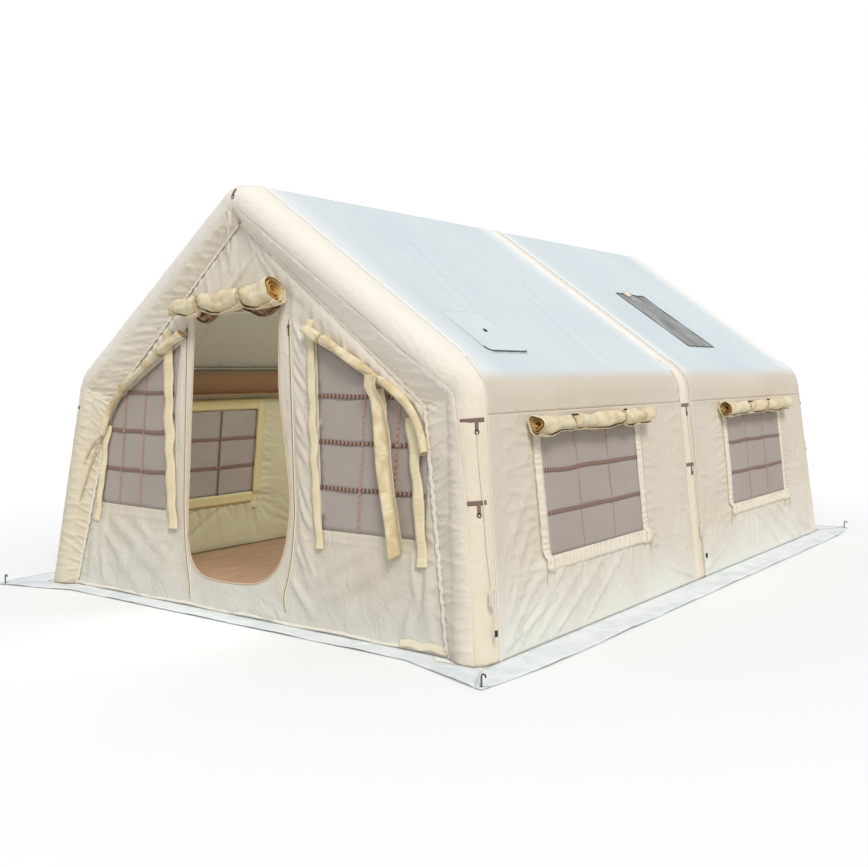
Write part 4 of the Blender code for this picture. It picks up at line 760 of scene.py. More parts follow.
def wall_folds(bay):
    """Folds of a side wall in (y away from the middle arch, z)."""
    near, far = sorted(abs(y) for y in WINDOW_Y[bay])
    low = WINDOW_Z[0]
    dice = np.random.default_rng(21 if bay == "front" else 22)
    folds = []
    for angle in np.linspace(0.35, 1.45, 7):
        reach = dice.uniform(0.55, 0.95)
        folds.append((2.78, 0.04, 2.78 - reach * math.cos(angle), 0.04 + reach * math.sin(angle),
                      0.018, 0.018, 0))
        folds.append((0.14, 0.04, 0.14 + 0.8 * reach * math.cos(angle),
                      0.04 + 0.8 * reach * math.sin(angle), 0.018, 0.015, 0))
    for corner_y, corner_z, way in ((far, low, 1), (near, low, -1)):
        for angle in np.linspace(-1.35, -0.3, 5):
            reach = dice.uniform(0.3, 0.5)
            folds.append((corner_y, corner_z, corner_y + way * reach * math.cos(angle),
                          corner_z + reach * math.sin(angle), 0.026, 0.020, 0))
    for y, z, y1, z1 in ((2.28, 0.44, 2.76, 0.04), (2.05, 0.42, 2.62, 0.03), (1.82, 0.41, 2.42, 0.03),
                         (1.55, 0.40, 2.20, 0.04), (2.40, 0.90, 2.80, 0.38), (2.38, 0.72, 2.78, 0.22),
                         (2.36, 0.58, 2.80, 0.10), (1.25, 0.40, 1.80, 0.05)):
        folds.append((y, z, y1, z1, 0.026, 0.013, 0))
        folds.append((y1 + 0.04, z1 - 0.02, y + 0.05, z, 0.015, 0.015, 0))
    for y in np.arange(near - 0.02, far + 0.06, 0.11):
        folds.append((y, low - 0.09, y + dice.uniform(-0.10, 0.05), low - dice.uniform(0.2, 0.45),
                      0.020, 0.012, 0))
    for y in (near - 0.108, far + 0.108):
        for z in np.arange(0.38, 1.3, 0.062):
            side = 1 if y > 1.4 else -1
            folds.append((y, z, y + side * dice.uniform(0.12, 0.34), z + dice.uniform(-0.10, 0.02), 0.012,
                          0.011, 0))
    for y in (0.16, 2.62):
        for z in np.arange(0.2, 1.3, 0.12):
            side = -1 if y > 1.4 else 1
            folds.append((y, z, y + side * dice.uniform(0.12, 0.3), z + dice.uniform(-0.10, 0.06), 0.016,
                          0.009, 0))
    return folds


def wall_point(side, bay, q, y, depth=0.0):
    """Side wall's point: the arches' outside and a swell of 12 mm, plus its folds and slow waves, which
    are still at the edges and round the window."""
    spot, out = arch_line(np.asarray(q))
    z = wall_z(q)
    share = sag_share(q, y)
    swell = 0.012 * np.sin(math.pi * np.clip(q / wall_q(SEAM_Z), 0, 1)) * np.sin(math.pi * share)
    near, far = sorted(abs(v) for v in WINDOW_Y[bay])
    from_window = np.maximum(np.maximum(near - np.abs(y), np.abs(y) - far),
                             np.maximum(WINDOW_Z[0] - z, z - WINDOW_Z[1]))
    free = np.clip(np.minimum(share, 1 - share) * 20, 0, 1) * np.clip((from_window - 0.005) / 0.05, 0, 1)
    free = free * np.clip((SEAM_Z - z) / 0.05, 0, 1) * np.clip(z / 0.05, 0, 1)
    field = np.stack([y + 5 * side, z], -1)
    rise = 0.011 * hush(31, field, 0.9, 2) + 1.35 * line_folds(np.abs(y), z, wall_folds(bay)) - 0.006
    rise = rise + 0.005 * np.exp(-((z - 0.40) / 0.008) ** 2)
    lift = free * eased(rise, -0.014, 0.028) - depth + swell + over_band(spot, y)
    place = spot + out * (REACH + lift)[..., None]
    return np.stack([side * place[..., 0], y, place[..., 1]], -1)


for side_name, side in (("right", 1), ("left", -1)):
    for bay, arch in BAY.items():
        hole_q = [wall_q(z) for z in WINDOW_Z]
        hole_y = sorted(abs(y) for y in WINDOW_Y[bay])
        q = hem_lines(0.0008, wall_q(SEAM_Z - 0.0002), hole_q, 0.0095)
        y = hem_lines(BAND + 0.0005, END_Y - BAND, hole_y, 0.014)
        grid_q, grid_y = bay_grid(q, y, arch, hole_y[1])
        keep = outside_hole(grid_q, y, hole_q, hole_y)
        points = wall_point(side, bay, grid_q, grid_y)
        uv = np.stack([grid_y, grid_q * WALL_SLOPE], -1)
        wall = build(f"{side_name}_{bay}_wall_cloth", points.reshape(-1, 3),
                     quads(*grid_q.shape, keep=keep), uv.reshape(-1, 2), inside=(0, arch * 1.4, 0.7),
                     thick=0.002, lined=True)
        for finish_of in (wall_canvas, wall_lining):
            wall.data.materials.append(finish_of)
        width, length, area = flat_size(uv[..., 1], uv[..., 0], keep)
        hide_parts(f"{side_name}_wall_{bay}")
        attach(wall, "tent")

# Side windows: mesh net with a grid of brown tapes sewn on, set in the wall's opening and framed by a
# cream binding whose long sides are gathered, so they pucker. The net's knotted cells are drawn at three
# times their size so that they show, with threads lighter than the gaps, which are painted darker with
# the shade inside the tent.
CELL = 0.0045
window_net, tree, shader = blank("grey-brown insect net")
cells = add(tree, "Math", {0: waves(tree, own_uv(tree), CELL), 1: waves(tree, own_uv(tree, "Y"), CELL)},
            operation="MAXIMUM").outputs[0]
tint = mixed(tree, scaled(tree, noise(tree, 2.2, 3.0), 0.3, 0.7), linear("C4B9B1"), linear("B8ACA4"))
# Painted shade: the gaps between the threads are darker.
tint = mixed(tree, scaled(tree, cells, 0.2, 0.9), linear("A89D95"), tint)
tree.links.new(tint, shader.inputs["Base Color"])
knots = add(tree, "Bump", {"Height": cells, "Distance": 0.0006, "Strength": 0.5})
tree.links.new(knots.outputs[0], shader.inputs["Normal"])
shader.inputs["Roughness"].default_value = 0.8
shader.inputs["Alpha"].default_value = 0.93


def bones(tree):
    """Herringbone: waves along the tape, set back by 0.6 of the distance from its middle line."""
    off = add(tree, "Math", {0: own_uv(tree, "Y")}, operation="ABSOLUTE").outputs[0]
    slant = add(tree, "Math", {0: off, 1: 0.6, 2: own_uv(tree)}, operation="MULTIPLY_ADD").outputs[0]
    return waves(tree, slant, 0.03)


def level_waves(tree):
    """Fine waves up the object, for a thread's twist."""
    place = add(tree, "SeparateXYZ", {0: add(tree, "TexCoord").outputs["Object"]})
    return waves(tree, place.outputs["Z"], 0.002)


# Polyester tape of 26 mm for the level bars, a brown and pinkish herringbone, and orange-brown stitches
# for the upright ones.
brown_tape = finish("brown herringbone tape", bones, "63493E", "A68A7C", 0.75, (-0.35, 0.35), 0.0003, 0.3)
stitch_thread = finish("orange-brown stitching", level_waves, "B98468", "D9A58A", 0.75, (-1, 1))


def stitches(name, line, out, width, pitch, seed):
    """Row of slanted flat stitches along a line: each covers 0.6 of its pitch and is turned a little,
    its corners at plus and less half its length and width."""
    total = np.linalg.norm(np.diff(line, axis=0), axis=1).sum()
    count = int(total / pitch)
    spots = evenly(line, count * 2 + 1)[1::2]
    way, out = unit(line[-1] - line[0]), unit(out)
    across = np.cross(way, out)
    tilt = np.random.default_rng(seed).uniform(0.1, 0.5, count)[:, None]
    along, over = 0.3 * pitch * (way + tilt * across), width / 2 * across * np.ones((count, 1))
    corners = np.stack([spots - along - over, spots - along + over, spots + along + over,
                        spots + along - over], 1)
    made = build(name, corners.reshape(-1, 3), np.arange(count * 4).reshape(-1, 4),
                 inside=tuple((spots - out).mean(0)), thick=0.0016, smooth=False)
    made.data.materials.append(stitch_thread)
    return made


def ribbon(name, line, out, width, finish_of, thick=0.0015, lift=0):
    """Flat band along a line of points: its edges are the points plus and less half its width along
    the cross product of its way and the way out of the cloth. UVs are metres along and across."""
    line = np.asarray(line, float)
    out = np.broadcast_to(np.asarray(out, float), line.shape)
    across = unit(np.cross(np.gradient(line, axis=0), out))
    width = np.broadcast_to(np.asarray(width, float), (len(line),))[:, None]
    columns = np.linspace(-0.5, 0.5, 5)
    grid = line[:, None] + across[:, None] * (columns[None] * width)[..., None] + \
        out[:, None] * (0.0008 * (1 - (columns[None] * 2) ** 4) + lift)[..., None]
    along = run_of(line)
    uv = np.stack(np.broadcast_arrays(along[:, None], columns[None] * width), -1)
    made = build(name, grid.reshape(-1, 3), quads(len(line), 5), uv.reshape(-1, 2),
                 inside=tuple((line - out).mean(0)), thick=thick)
    made.data.materials.append(finish_of)
    return made


def merged(name, parts):
    """Joins objects into one, with their modifiers applied and their materials kept."""
    with bpy.context.temp_override(active_object=parts[0], selected_editable_objects=parts,
                                   object=parts[0]):
        for part in parts:
            with bpy.context.temp_override(object=part, active_object=part):
                for step in list(part.modifiers):
                    bpy.ops.object.modifier_apply(modifier=step.name)
        bpy.ops.object.join()
    parts[0].name = parts[0].data.name = name
    return parts[0]


def ribs(pitch):
    """Pattern of waves along a piece, one in each pitch in metres."""
    return lambda tree: waves(tree, own_uv(tree), pitch)


binding_canvas = canvas("cream binding", "F3E8CF", "E4D0A4", cockle=0.002, cockle_size=0.02)
frame_canvas = canvas("gathered window frame", "EFE6D4", "DCCFB5", cockle=0.003, cockle_size=0.03)
eave_tape = canvas("beige tape inside the eaves", "EAD9BC", "DBC9A8", cockle=0.002)
inner_binding = canvas("yellow binding inside", "E6D6A4", "CFBE88", cockle=0.003, cockle_size=0.03)
piping_tape = finish("light brown piping", ribs(0.005), "C7AB8C", "E3D0B4", 0.8, (-1, 1))
for side_name, side in (("right", 1), ("left", -1)):
    for bay, arch in BAY.items():
        hole_q = [wall_q(z) for z in WINDOW_Z]
        low, high = sorted(WINDOW_Y[bay])
        q = np.linspace(hole_q[0] + 0.0004, hole_q[1] - 0.0004, 40)
        y = np.linspace(low + 0.0005, high - 0.0005, 60)
        grid_q, grid_y = np.meshgrid(q, y, indexing="ij")
        field = np.stack([grid_y, grid_q * WALL_SLOPE], -1)
        slack = 0.006 * np.abs(hush(41 + arch + side, field, 0.5, 2))
        slack = slack * np.sin(math.pi * (grid_q - q[0]) / np.ptp(q))
        slack = slack * np.sin(math.pi * (grid_y - y[0]) / np.ptp(y))
        points = wall_point(side, bay, grid_q, grid_y, 0.0015)
        points[..., 0] -= side * slack
        net = build(f"{side_name}_{bay}_window_mesh", points.reshape(-1, 3), quads(len(q), len(y)),
                    field.reshape(-1, 2), inside=(0, arch * 1.4, 0.7), thick=0.0008)
        net.data.materials.append(window_net)
        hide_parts(f"{side_name}_window_net_{bay}")
        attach(net, "tent")
        out = np.array((side * math.cos(LEG_ANGLE), 0, math.sin(LEG_ANGLE)))
        tapes = []
        for i in (1, 2):
            level = hole_q[0] + (hole_q[1] - hole_q[0]) * i / 3
            run = np.linspace(low, high, 40)
            line = wall_point(side, bay, np.full(40, level), run, -0.0015)
            line[:, 2] += 0.004 * hush(51 + i, run[:, None], 0.6, 1)
            tapes.append(ribbon("tape", line, out, 0.026, brown_tape))
            tapes.append(ribbon("tape", line - out * 0.014, out, 0.026, brown_tape))
            upright = low + (high - low) * i / 3
            rise = np.linspace(hole_q[0], hole_q[1], 30)
            line = wall_point(side, bay, rise, np.full(30, upright), -0.002)
            line[:, 1] += 0.005 * hush(61 + i, rise[:, None], 0.5, 1)
            tapes.append(stitches("row", line, out, 0.011, 0.036, 60 + i))
            tapes.append(ribbon("tape", line - out * 0.014, out, 0.018, brown_tape))
        grid = merged(f"{side_name}_{bay}_window_tapes", tapes)
        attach(grid, "tent")
        frames = []
        for edge_y, way in ((low, -1), (high, 1)):
            rise = np.linspace(wall_q(0.42), wall_q(1.34), 260)
            z = wall_z(rise)
            line = wall_point(side, bay, rise, edge_y + way * (0.046 + 0 * z), -0.005)
            pucker = np.sin(z * math.tau / 0.045 + 2.4 * np.sin(z * 23))[:, None]
            frames.append(ribbon("frame", line, out, 0.086 + 0.003 * np.sin(z * 60), frame_canvas,
                                 lift=0.0024 * pucker * (1 + 0.6 * np.sin(z * 13))[:, None] *
                                 np.array((0.2, 1.0, 1.0, 0.8, 0.1))))
            rise = np.linspace(wall_q(0.34), wall_q(1.34), 160)
            z = wall_z(rise)
            line = wall_point(side, bay, rise, edge_y + way * (0.093 + 0.0012 * np.sin(z * 29)), -0.004)
            cord = tube("piping", line, 0.0036, sides=8, hint=out,
                        lump=lambda along, turn: 0.0005 * np.sin(along * 190))
            cord.data.materials.append(piping_tape)
            frames.append(cord)
            frames.append(ribbon("inner frame", line - out * 0.016 - (0, way * 0.050, 0), out, 0.090,
                                 inner_binding))
        run = np.linspace(low - 0.07, high + 0.07, 200)
        for z, width, inner_z, inner_width in ((WINDOW_Z[0] - 0.047, 0.092, WINDOW_Z[0] - 0.047, 0.092),
                                               (WINDOW_Z[1] + 0.012, 0.030, WINDOW_Z[1] + 0.048, 0.096)):
            line = wall_point(side, bay, np.full(200, wall_q(z)), run, -0.0045)
            pucker = np.sin(run * math.tau / 0.055 + 1.8 * np.sin(run * 23))[:, None]
            frames.append(ribbon("frame", line, out, width, frame_canvas,
                                 lift=0.0035 * pucker * np.array((0.1, 0.9, 1.0, 0.9, 0.2))))
            line = wall_point(side, bay, np.full(200, wall_q(inner_z)), run, 0.0115)
            frames.append(ribbon("inner frame", line, out, inner_width, inner_binding))
        level = np.linspace(0.95, 3, 300)
        heights = roof_point(level, 0 * level + arch * 1.4, 0.006, seed=3 + arch)[:, 2]
        run = arch * np.linspace(0.16, 2.52, 60)
        for z, width in ((1.400, 0.030), (1.618, 0.016)):
            place = np.interp(z, heights, level)
            line = roof_point(np.full(60, place), run, 0.010, seed=3 + arch) * (side, 1, 1)
            lining = arch_line(np.array(place))[1]
            frames.append(ribbon("eave tape", line, (-side * lining[0], 0, -lining[1]), width, eave_tape))
        frame_piece = merged(f"{side_name}_{bay}_window_frame", frames)
        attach(frame_piece, "tent")

# Gables: beige canvas sewn to the end sleeves' flaps. The front one has the door opening and two
# windows, hangs in long folds from its seam, and leans back from the ground to the ridge.
DOOR = ((-0.50, 0.60), (-0.488, 0.45), (-0.462, 0.345), (-0.40, 0.262), (-0.28, 0.214), (0.03, 0.212),
        (0.22, 0.245), (0.35, 0.33), (0.42, 0.45), (0.45, 0.60), (0.46, 0.80), (0.40, 1.15), (0.33, 1.50),
        (0.31, 1.98), (-0.50, 1.98))
ZIPS = {"left": ((-0.452, 0.055), (-0.462, 0.13), (-0.476, 0.21), (-0.503, 0.32), (-0.530, 0.50),
                 (-0.548, 0.72)),
        "right": ((0.455, 0.085), (0.437, 0.15), (0.440, 0.21), (0.468, 0.31), (0.494, 0.48),
                  (0.505, 0.72))}
ZIPS = {name: [*through(foot, 40)[:-1].tolist(), foot[-1], top]
        for (name, foot), top in zip(ZIPS.items(), ((-0.575, 1.93), (0.395, 1.93)))}
GABLE_WINDOW = ((0.74, 0.63), (1.50, 0.63), (1.50, 1.09), (1.45, 1.27), (1.36, 1.40), (1.10, 1.55),
                (0.64, 1.79))
SEAM = ((1.7431, 0.0005, 2.9401), (1.5719, 1.395, 2.7866), (1.5555, 1.4087, 2.7802),
        (1.5516, 1.4296, 2.7829), (0.0099, 2.569, 2.8446), (0.0, 2.5757, 2.8452))
FACING = ((1.733, 0.003), (1.462, 1.405), (0.015, 2.566))
DOOR_LEAN = 0.0631
DOOR_EDGE = through([DOOR[-1], *DOOR[:-1]], 90).tolist()


def gable_depth(x, z):
    """Distance of the gable cloth's back from the tent's middle: flat round the door, leaning back as it
    rises, and curved to the seam's distance at its sides."""
    halves, heights, seam_y = np.transpose(SEAM)
    half, edge = np.interp(z, heights, halves), np.interp(z, heights, seam_y)
    share = np.clip((half - np.abs(x)) / np.maximum(half - 0.62, 0.02), 0, 1)
    share = share * share * (3 - 2 * share)
    return np.where((z >= 2.0) | (half <= 0.62), edge, edge + (2.94 - DOOR_LEAN * z - edge) * share)


def off_piece(x, z, x0, z0, x1, z1):
    """Distance from points to a straight piece: to its foot on the line, held between the two ends."""
    dx, dz = x1 - x0, z1 - z0
    along = np.clip(((x - x0) * dx + (z - z0) * dz) / (dx ** 2 + dz ** 2), 0, 1)
    return np.hypot(x - x0 - along * dx, z - z0 - along * dz)


def far_from(x, z, loop):
    """Distance from points to a closed outline, negative inside it."""
    loop = np.array(loop, float)
    best, crossed = np.full(np.shape(x), 9.0), np.zeros(np.shape(x), bool)
    for (x0, z0), (x1, z1) in zip(loop, np.roll(loop, -1, 0)):
        best = np.minimum(best, off_piece(x, z, x0, z0, x1, z1))
        with np.errstate(divide="ignore", invalid="ignore"):
            crossed ^= ((z0 > z) != (z1 > z)) & (x < x0 + (z - z0) * (x1 - x0) / (z1 - z0))
    return np.where(crossed, -best, best)


def off_line(x, z, line):
    """Distance from points to an open line of straight pieces."""
    best = np.full(np.shape(x), 9.0)
    for start, end in zip(line, line[1:]):
        best = np.minimum(best, off_piece(x, z, *start, *end))
    return best


def panel(outline, holes, step):
    """Points and triangles of a flat outline less its holes, on a grid of the given step."""
    loops = []
    for loop in (outline, *holes):
        loop = np.array(loop, float)
        pieces = []
        for a, b in zip(loop, np.roll(loop, -1, 0)):
            count = max(1, math.ceil(np.linalg.norm(b - a) / step))
            pieces.append(a + (b - a) * np.arange(count)[:, None] / count)
        loops.append(np.vstack(pieces))
    low, high = loops[0].min(0), loops[0].max(0)
    grid = np.stack(np.meshgrid(np.arange(low[0], high[0], step), np.arange(low[1], high[1], step * 0.866),
                                indexing="ij"), -1)
    grid[:, ::2, 0] += step / 2
    grid = grid.reshape(-1, 2)
    keep = far_from(grid[:, 0], grid[:, 1], outline) < -0.45 * step
    for hole in holes:
        keep &= far_from(grid[:, 0], grid[:, 1], hole) > 0.45 * step
    edges, start = [], 0
    for loop in loops:
        n = np.arange(len(loop))
        edges += np.stack([start + n, start + (n + 1) % len(loop)], -1).tolist()
        start += len(loop)
    points = np.vstack([*loops, grid[keep]])
    found, _, faces, *_ = delaunay_2d_cdt([Vector(p) for p in points.tolist()], edges, [], 0, 1e-6)
    found = np.array([tuple(p) for p in found])
    faces = np.array([tuple(f) for f in faces])
    middle = found[faces].mean(1)
    keep = far_from(middle[:, 0], middle[:, 1], outline) < 0
    for hole in holes:
        keep &= far_from(middle[:, 0], middle[:, 1], hole) > 0
    faces = faces[keep]
    a, b, c = (found[faces[:, i]] for i in range(3))
    d, e = b - a, c - a
    return found, faces, float(np.abs(d[:, 0] * e[:, 1] - d[:, 1] * e[:, 0]).sum() / 2)


def gable_folds(arch):
    """Folds of a gable in (x, z): gathers under the rafters' seams and beside the columns, and on the
    front one slanting creases between door and windows, below the sills and above the door."""
    dice = np.random.default_rng(77)
    folds = []
    for side in (-1, 1):
        for share in np.linspace(0.05, 0.93, 20):
            x, z = 1.46 * share, 2.575 - (2.575 - 1.43) * share
            angle = dice.uniform(-1.9, -1.1)
            reach = dice.uniform(0.14, 0.42)
            folds.append((side * x, z, side * (x + reach * math.cos(angle) * 0.6),
                          z + reach * math.sin(angle), 0.020, 0.016, 0))
        for angle in np.linspace(-2.9, -1.75, 6):
            reach = dice.uniform(0.25, 0.5)
            folds.append((side * 1.45, 1.42, side * (1.45 + reach * math.cos(angle)),
                          1.42 + reach * math.sin(angle), 0.022, 0.016, 0))
        for z in np.linspace(0.1, 1.25, 12):
            x = 1.72 - 0.19 * z
            folds.append((side * x, z, side * (x - dice.uniform(0.08, 0.20)), z + dice.uniform(-0.10, 0.12),
                          0.018, 0.012, 0))
        for x, z, x1, z1, width, height in ((1.40, 0.56, 0.62, 0.12, 0.055, 0.018),
                                            (1.10, 0.56, 0.60, 0.24, 0.04, 0.012),
                                            (1.52, 0.50, 0.95, 0.04, 0.045, 0.014),
                                            (1.52, 0.60, 1.60, 0.05, 0.026, 0.016),
                                            (1.42, 0.60, 1.50, 0.20, 0.026, 0.014),
                                            (1.60, 0.60, 1.52, 0.10, 0.026, 0.014),
                                            (1.46, 0.30, 1.40, 0.03, 0.03, 0.012)):
            folds.append((side * x, z, side * x1, z1, width, height, 1))
    if arch > 0:
        return folds
    for z in np.arange(0.50, 2.05, 0.062):
        left = np.interp(z, (0.4, 0.8, 1.93), (0.50, 0.49, 0.38)) + dice.uniform(0, 0.05)
        right = np.interp(z, (0.4, 0.8, 1.93), (0.74, 0.72, 0.64)) - dice.uniform(0, 0.08)
        drop = dice.uniform(0.18, 0.34)
        folds.append((left, z, right, z - drop, dice.uniform(0.009, 0.015), dice.uniform(0.008, 0.016),
                      int(dice.integers(0, 2))))
    for z in np.arange(0.45, 1.95, 0.10):
        left = np.interp(z, (0.4, 0.8, 1.93), (0.47, 0.46, 0.34))
        folds.append((left, z, left + 0.05, z - 0.09, 0.008, 0.008, 1))
    for x in (-0.665, -0.60, -0.63):
        folds.append((x, 1.9, x + 0.05, 0.4, 0.014, 0.009, 1))
    folds += [(-0.66, 0.50, -1.3, 0.10, 0.05, 0.020, 1), (-0.60, 0.42, -0.85, 0.05, 0.035, 0.016, 1),
              (-1.45, 0.58, -1.62, 0.05, 0.03, 0.016, 1), (0.46, 0.33, 0.72, 0.06, 0.03, 0.014, 1)]
    for x0, z0, x1, z1, height in ((0.16, 2.40, -0.25, 2.05, 0.016), (-0.05, 2.50, -0.5, 2.1, 0.009),
                                   (0.5, 2.18, 0.42, 1.95, 0.018), (0.62, 2.08, 0.5, 1.9, 0.018),
                                   (0.40, 2.24, 0.30, 2.02, 0.012), (0.72, 2.00, 0.60, 1.86, 0.014),
                                   (-0.7, 2.0, -0.62, 1.7, 0.014), (0.02, 2.52, 0.35, 2.1, 0.010)):
        folds.append((x0, z0, x1, z1, 0.018, height, 1))
    for share in np.linspace(0.10, 0.9, 13):
        x, z = 1.46 * share, 2.575 - (2.575 - 1.43) * share
        folds.append((x, z - 0.02, x + 0.30, z - 0.38, 0.022, 0.015, 1))
    return folds


def gable_point(arch, x, z, depth=0.0, ruffled=1.0):
    """Gable cloth's outer point, with its folds where it is free: still at its edges."""
    back = gable_depth(x, z)
    holes = np.full(np.shape(x), 9.0)
    if arch < 0:
        for loop in (DOOR_EDGE, GABLE_WINDOW, [(-x0, z0) for x0, z0 in GABLE_WINDOW]):
            holes = np.minimum(holes, far_from(x, z, loop))
        for line in ZIPS.values():
            holes = np.minimum(holes, np.maximum(off_line(x, z, line) - 0.012, 0))
    inside = np.interp(z, [p[1] for p in FACING], [p[0] for p in FACING]) - np.abs(x)
    free = np.clip(inside / 0.06, 0, 1) * np.clip(z / 0.05, 0, 1) * np.clip(holes / 0.04, 0, 1)
    field = np.stack([x, z * 0.8], -1)
    rise = 0.010 * hush(71 + arch, field, 0.8, 2) + 0.0030 * hush(73, field, 0.16, 1)
    rise = rise + 0.005 * np.exp(-((z - 0.565) / 0.009) ** 2) * (np.abs(x) > 0.6)
    rise = rise + 1.35 * line_folds(x, z, gable_folds(arch))
    out = back + 0.003 - depth + ruffled * free * eased(rise, -0.012, 0.028)
    return np.stack([x, arch * out, z], -1)


# The gables fade to pale at the foot, painted light from the white ground, and turn lighter above the eave,
# painted light.
gable_canvas = canvas("beige gable canvas", "DFD5C4", "CFC3AE", cockle=0.005, wrinkle=(5, 3, 3),
                      wrinkle_depth=0.011, pale="DDDBD0", top="EBE3D5")
gable_lining = canvas("straw inner side of the gables", "C4B794", "B1A47F", cockle=0.005)
outline = [(x, max(z, 0.001)) for x, z, _ in SEAM]
outline += [(-x, z) for x, z in outline[-2::-1]]
mirror = [(-x, z) for x, z in GABLE_WINDOW]
for name, arch, holes, step in (("front", -1, [DOOR_EDGE, GABLE_WINDOW, mirror], 0.0145),
                                ("rear", 1, [], 0.02)):
    flat, faces, area = panel(outline, holes, step)
    points = gable_point(arch, flat[:, 0], flat[:, 1])
    gable = build(f"{name}_gable_cloth", points, faces, flat, inside=(0, 0, 1), thick=0.002, lined=True)
    for finish_of in (gable_canvas, gable_lining):
        gable.data.materials.append(finish_of)
    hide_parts(f"{name}_gable_wall")
    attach(gable, "tent")


def front_point(x, z, proud):
    """Point before the door gable's outer face, as if the cloth had no folds."""
    back = gable_depth(np.asarray(x, float), np.asarray(z, float))
    return np.stack(np.broadcast_arrays(x, -(back + 0.003 + proud), z), -1)


# Gable windows: the same net and tapes, cut to the sloping openings.
for side_name, side in (("right", 1), ("left", -1)):
    loop = [(side * x, z) for x, z in GABLE_WINDOW]
    flat, faces, area = panel(loop, [], 0.04)
    points = gable_point(-1, flat[:, 0], flat[:, 1], depth=0.0015, ruffled=0.0)
    still = np.clip(-far_from(flat[:, 0], flat[:, 1], loop) / 0.15, 0, 1)
    points[:, 1] -= 0.006 * still * hush(81, flat, 0.5, 2)
    net = build(f"{side_name}_gable_mesh", points, faces, flat, inside=(0, 0, 1), thick=0.0008)
    net.data.materials.append(window_net)
    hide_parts(f"{side_name}_gable_net")
    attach(net, "tent")
    tapes = []
    for z, low, high in ((0.89, 0.718, 1.499), (1.17, 0.695, 1.474), (1.45, 0.672, 1.27)):
        x = np.linspace(low, high, 40)
        wander = z + 0.004 * hush(91, x[:, None], 0.4, 1)
        tapes.append(ribbon("tape", front_point(side * x, wander, 0.005), (0, -1, 0.06), 0.026, brown_tape))
    for x, top in ((1.03, 1.585), (1.28, 1.445)):
        z = np.linspace(0.632, top, 40)
        wander = side * x + 0.006 * hush(92, z[:, None], 0.5, 1)
        tapes.append(stitches("row", front_point(wander, z, 0.0075), (0, -1, 0.06), 0.013, 0.036, 93))
    tapes = merged(f"{side_name}_gable_tapes", tapes)
    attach(tapes, "tent")

# Cloth rolls: each cover is wound up and tied, cream outside, with golden light between its layers.
# They are the side windows' four, the gable windows' two, the door's and the inner door's.
roll_canvas, tree, shader = blank("cream canvas of the covers")
crumple = noise(tree, 7.0, 3.0, 1.2)
tint = mixed(tree, scaled(tree, crumple, 0.42, 0.74), linear("EADCBB"), linear("CFB583"))
inner_turns = scaled(tree, own_uv(tree), 0.36, 0.52)
tree.links.new(mixed(tree, inner_turns, tint, linear("D6A858")), shader.inputs["Base Color"])
grain = add(tree, "Bump", {"Height": woven(tree, 0.0016), "Distance": 0.0003, "Strength": 0.5}).outputs[0]
rough = add(tree, "Bump", {"Height": crumple, "Distance": 0.03, "Strength": 0.7, "Normal": grain})
tree.links.new(rough.outputs[0], shader.inputs["Normal"])
shader.inputs["Roughness"].default_value = 0.8
shader.inputs["Sheen Weight"].default_value = 0.15

strap_web = finish("cream strap webbing", ribs(0.004), "C9B189", "E2CFA8", 0.85, (-1, 1))
black_nylon = finish("black nylon", lambda tree: noise(tree, 260.0), "171717", "262524", 0.45)


def grid_area(points):
    """Area of a grid of points: half the cross product of each square's diagonals, summed."""
    a, b, c, d = points[:-1, :-1], points[:-1, 1:], points[1:, 1:], points[1:, :-1]
    return float((np.linalg.norm(np.cross(c - a, d - b), axis=-1) / 2).sum())


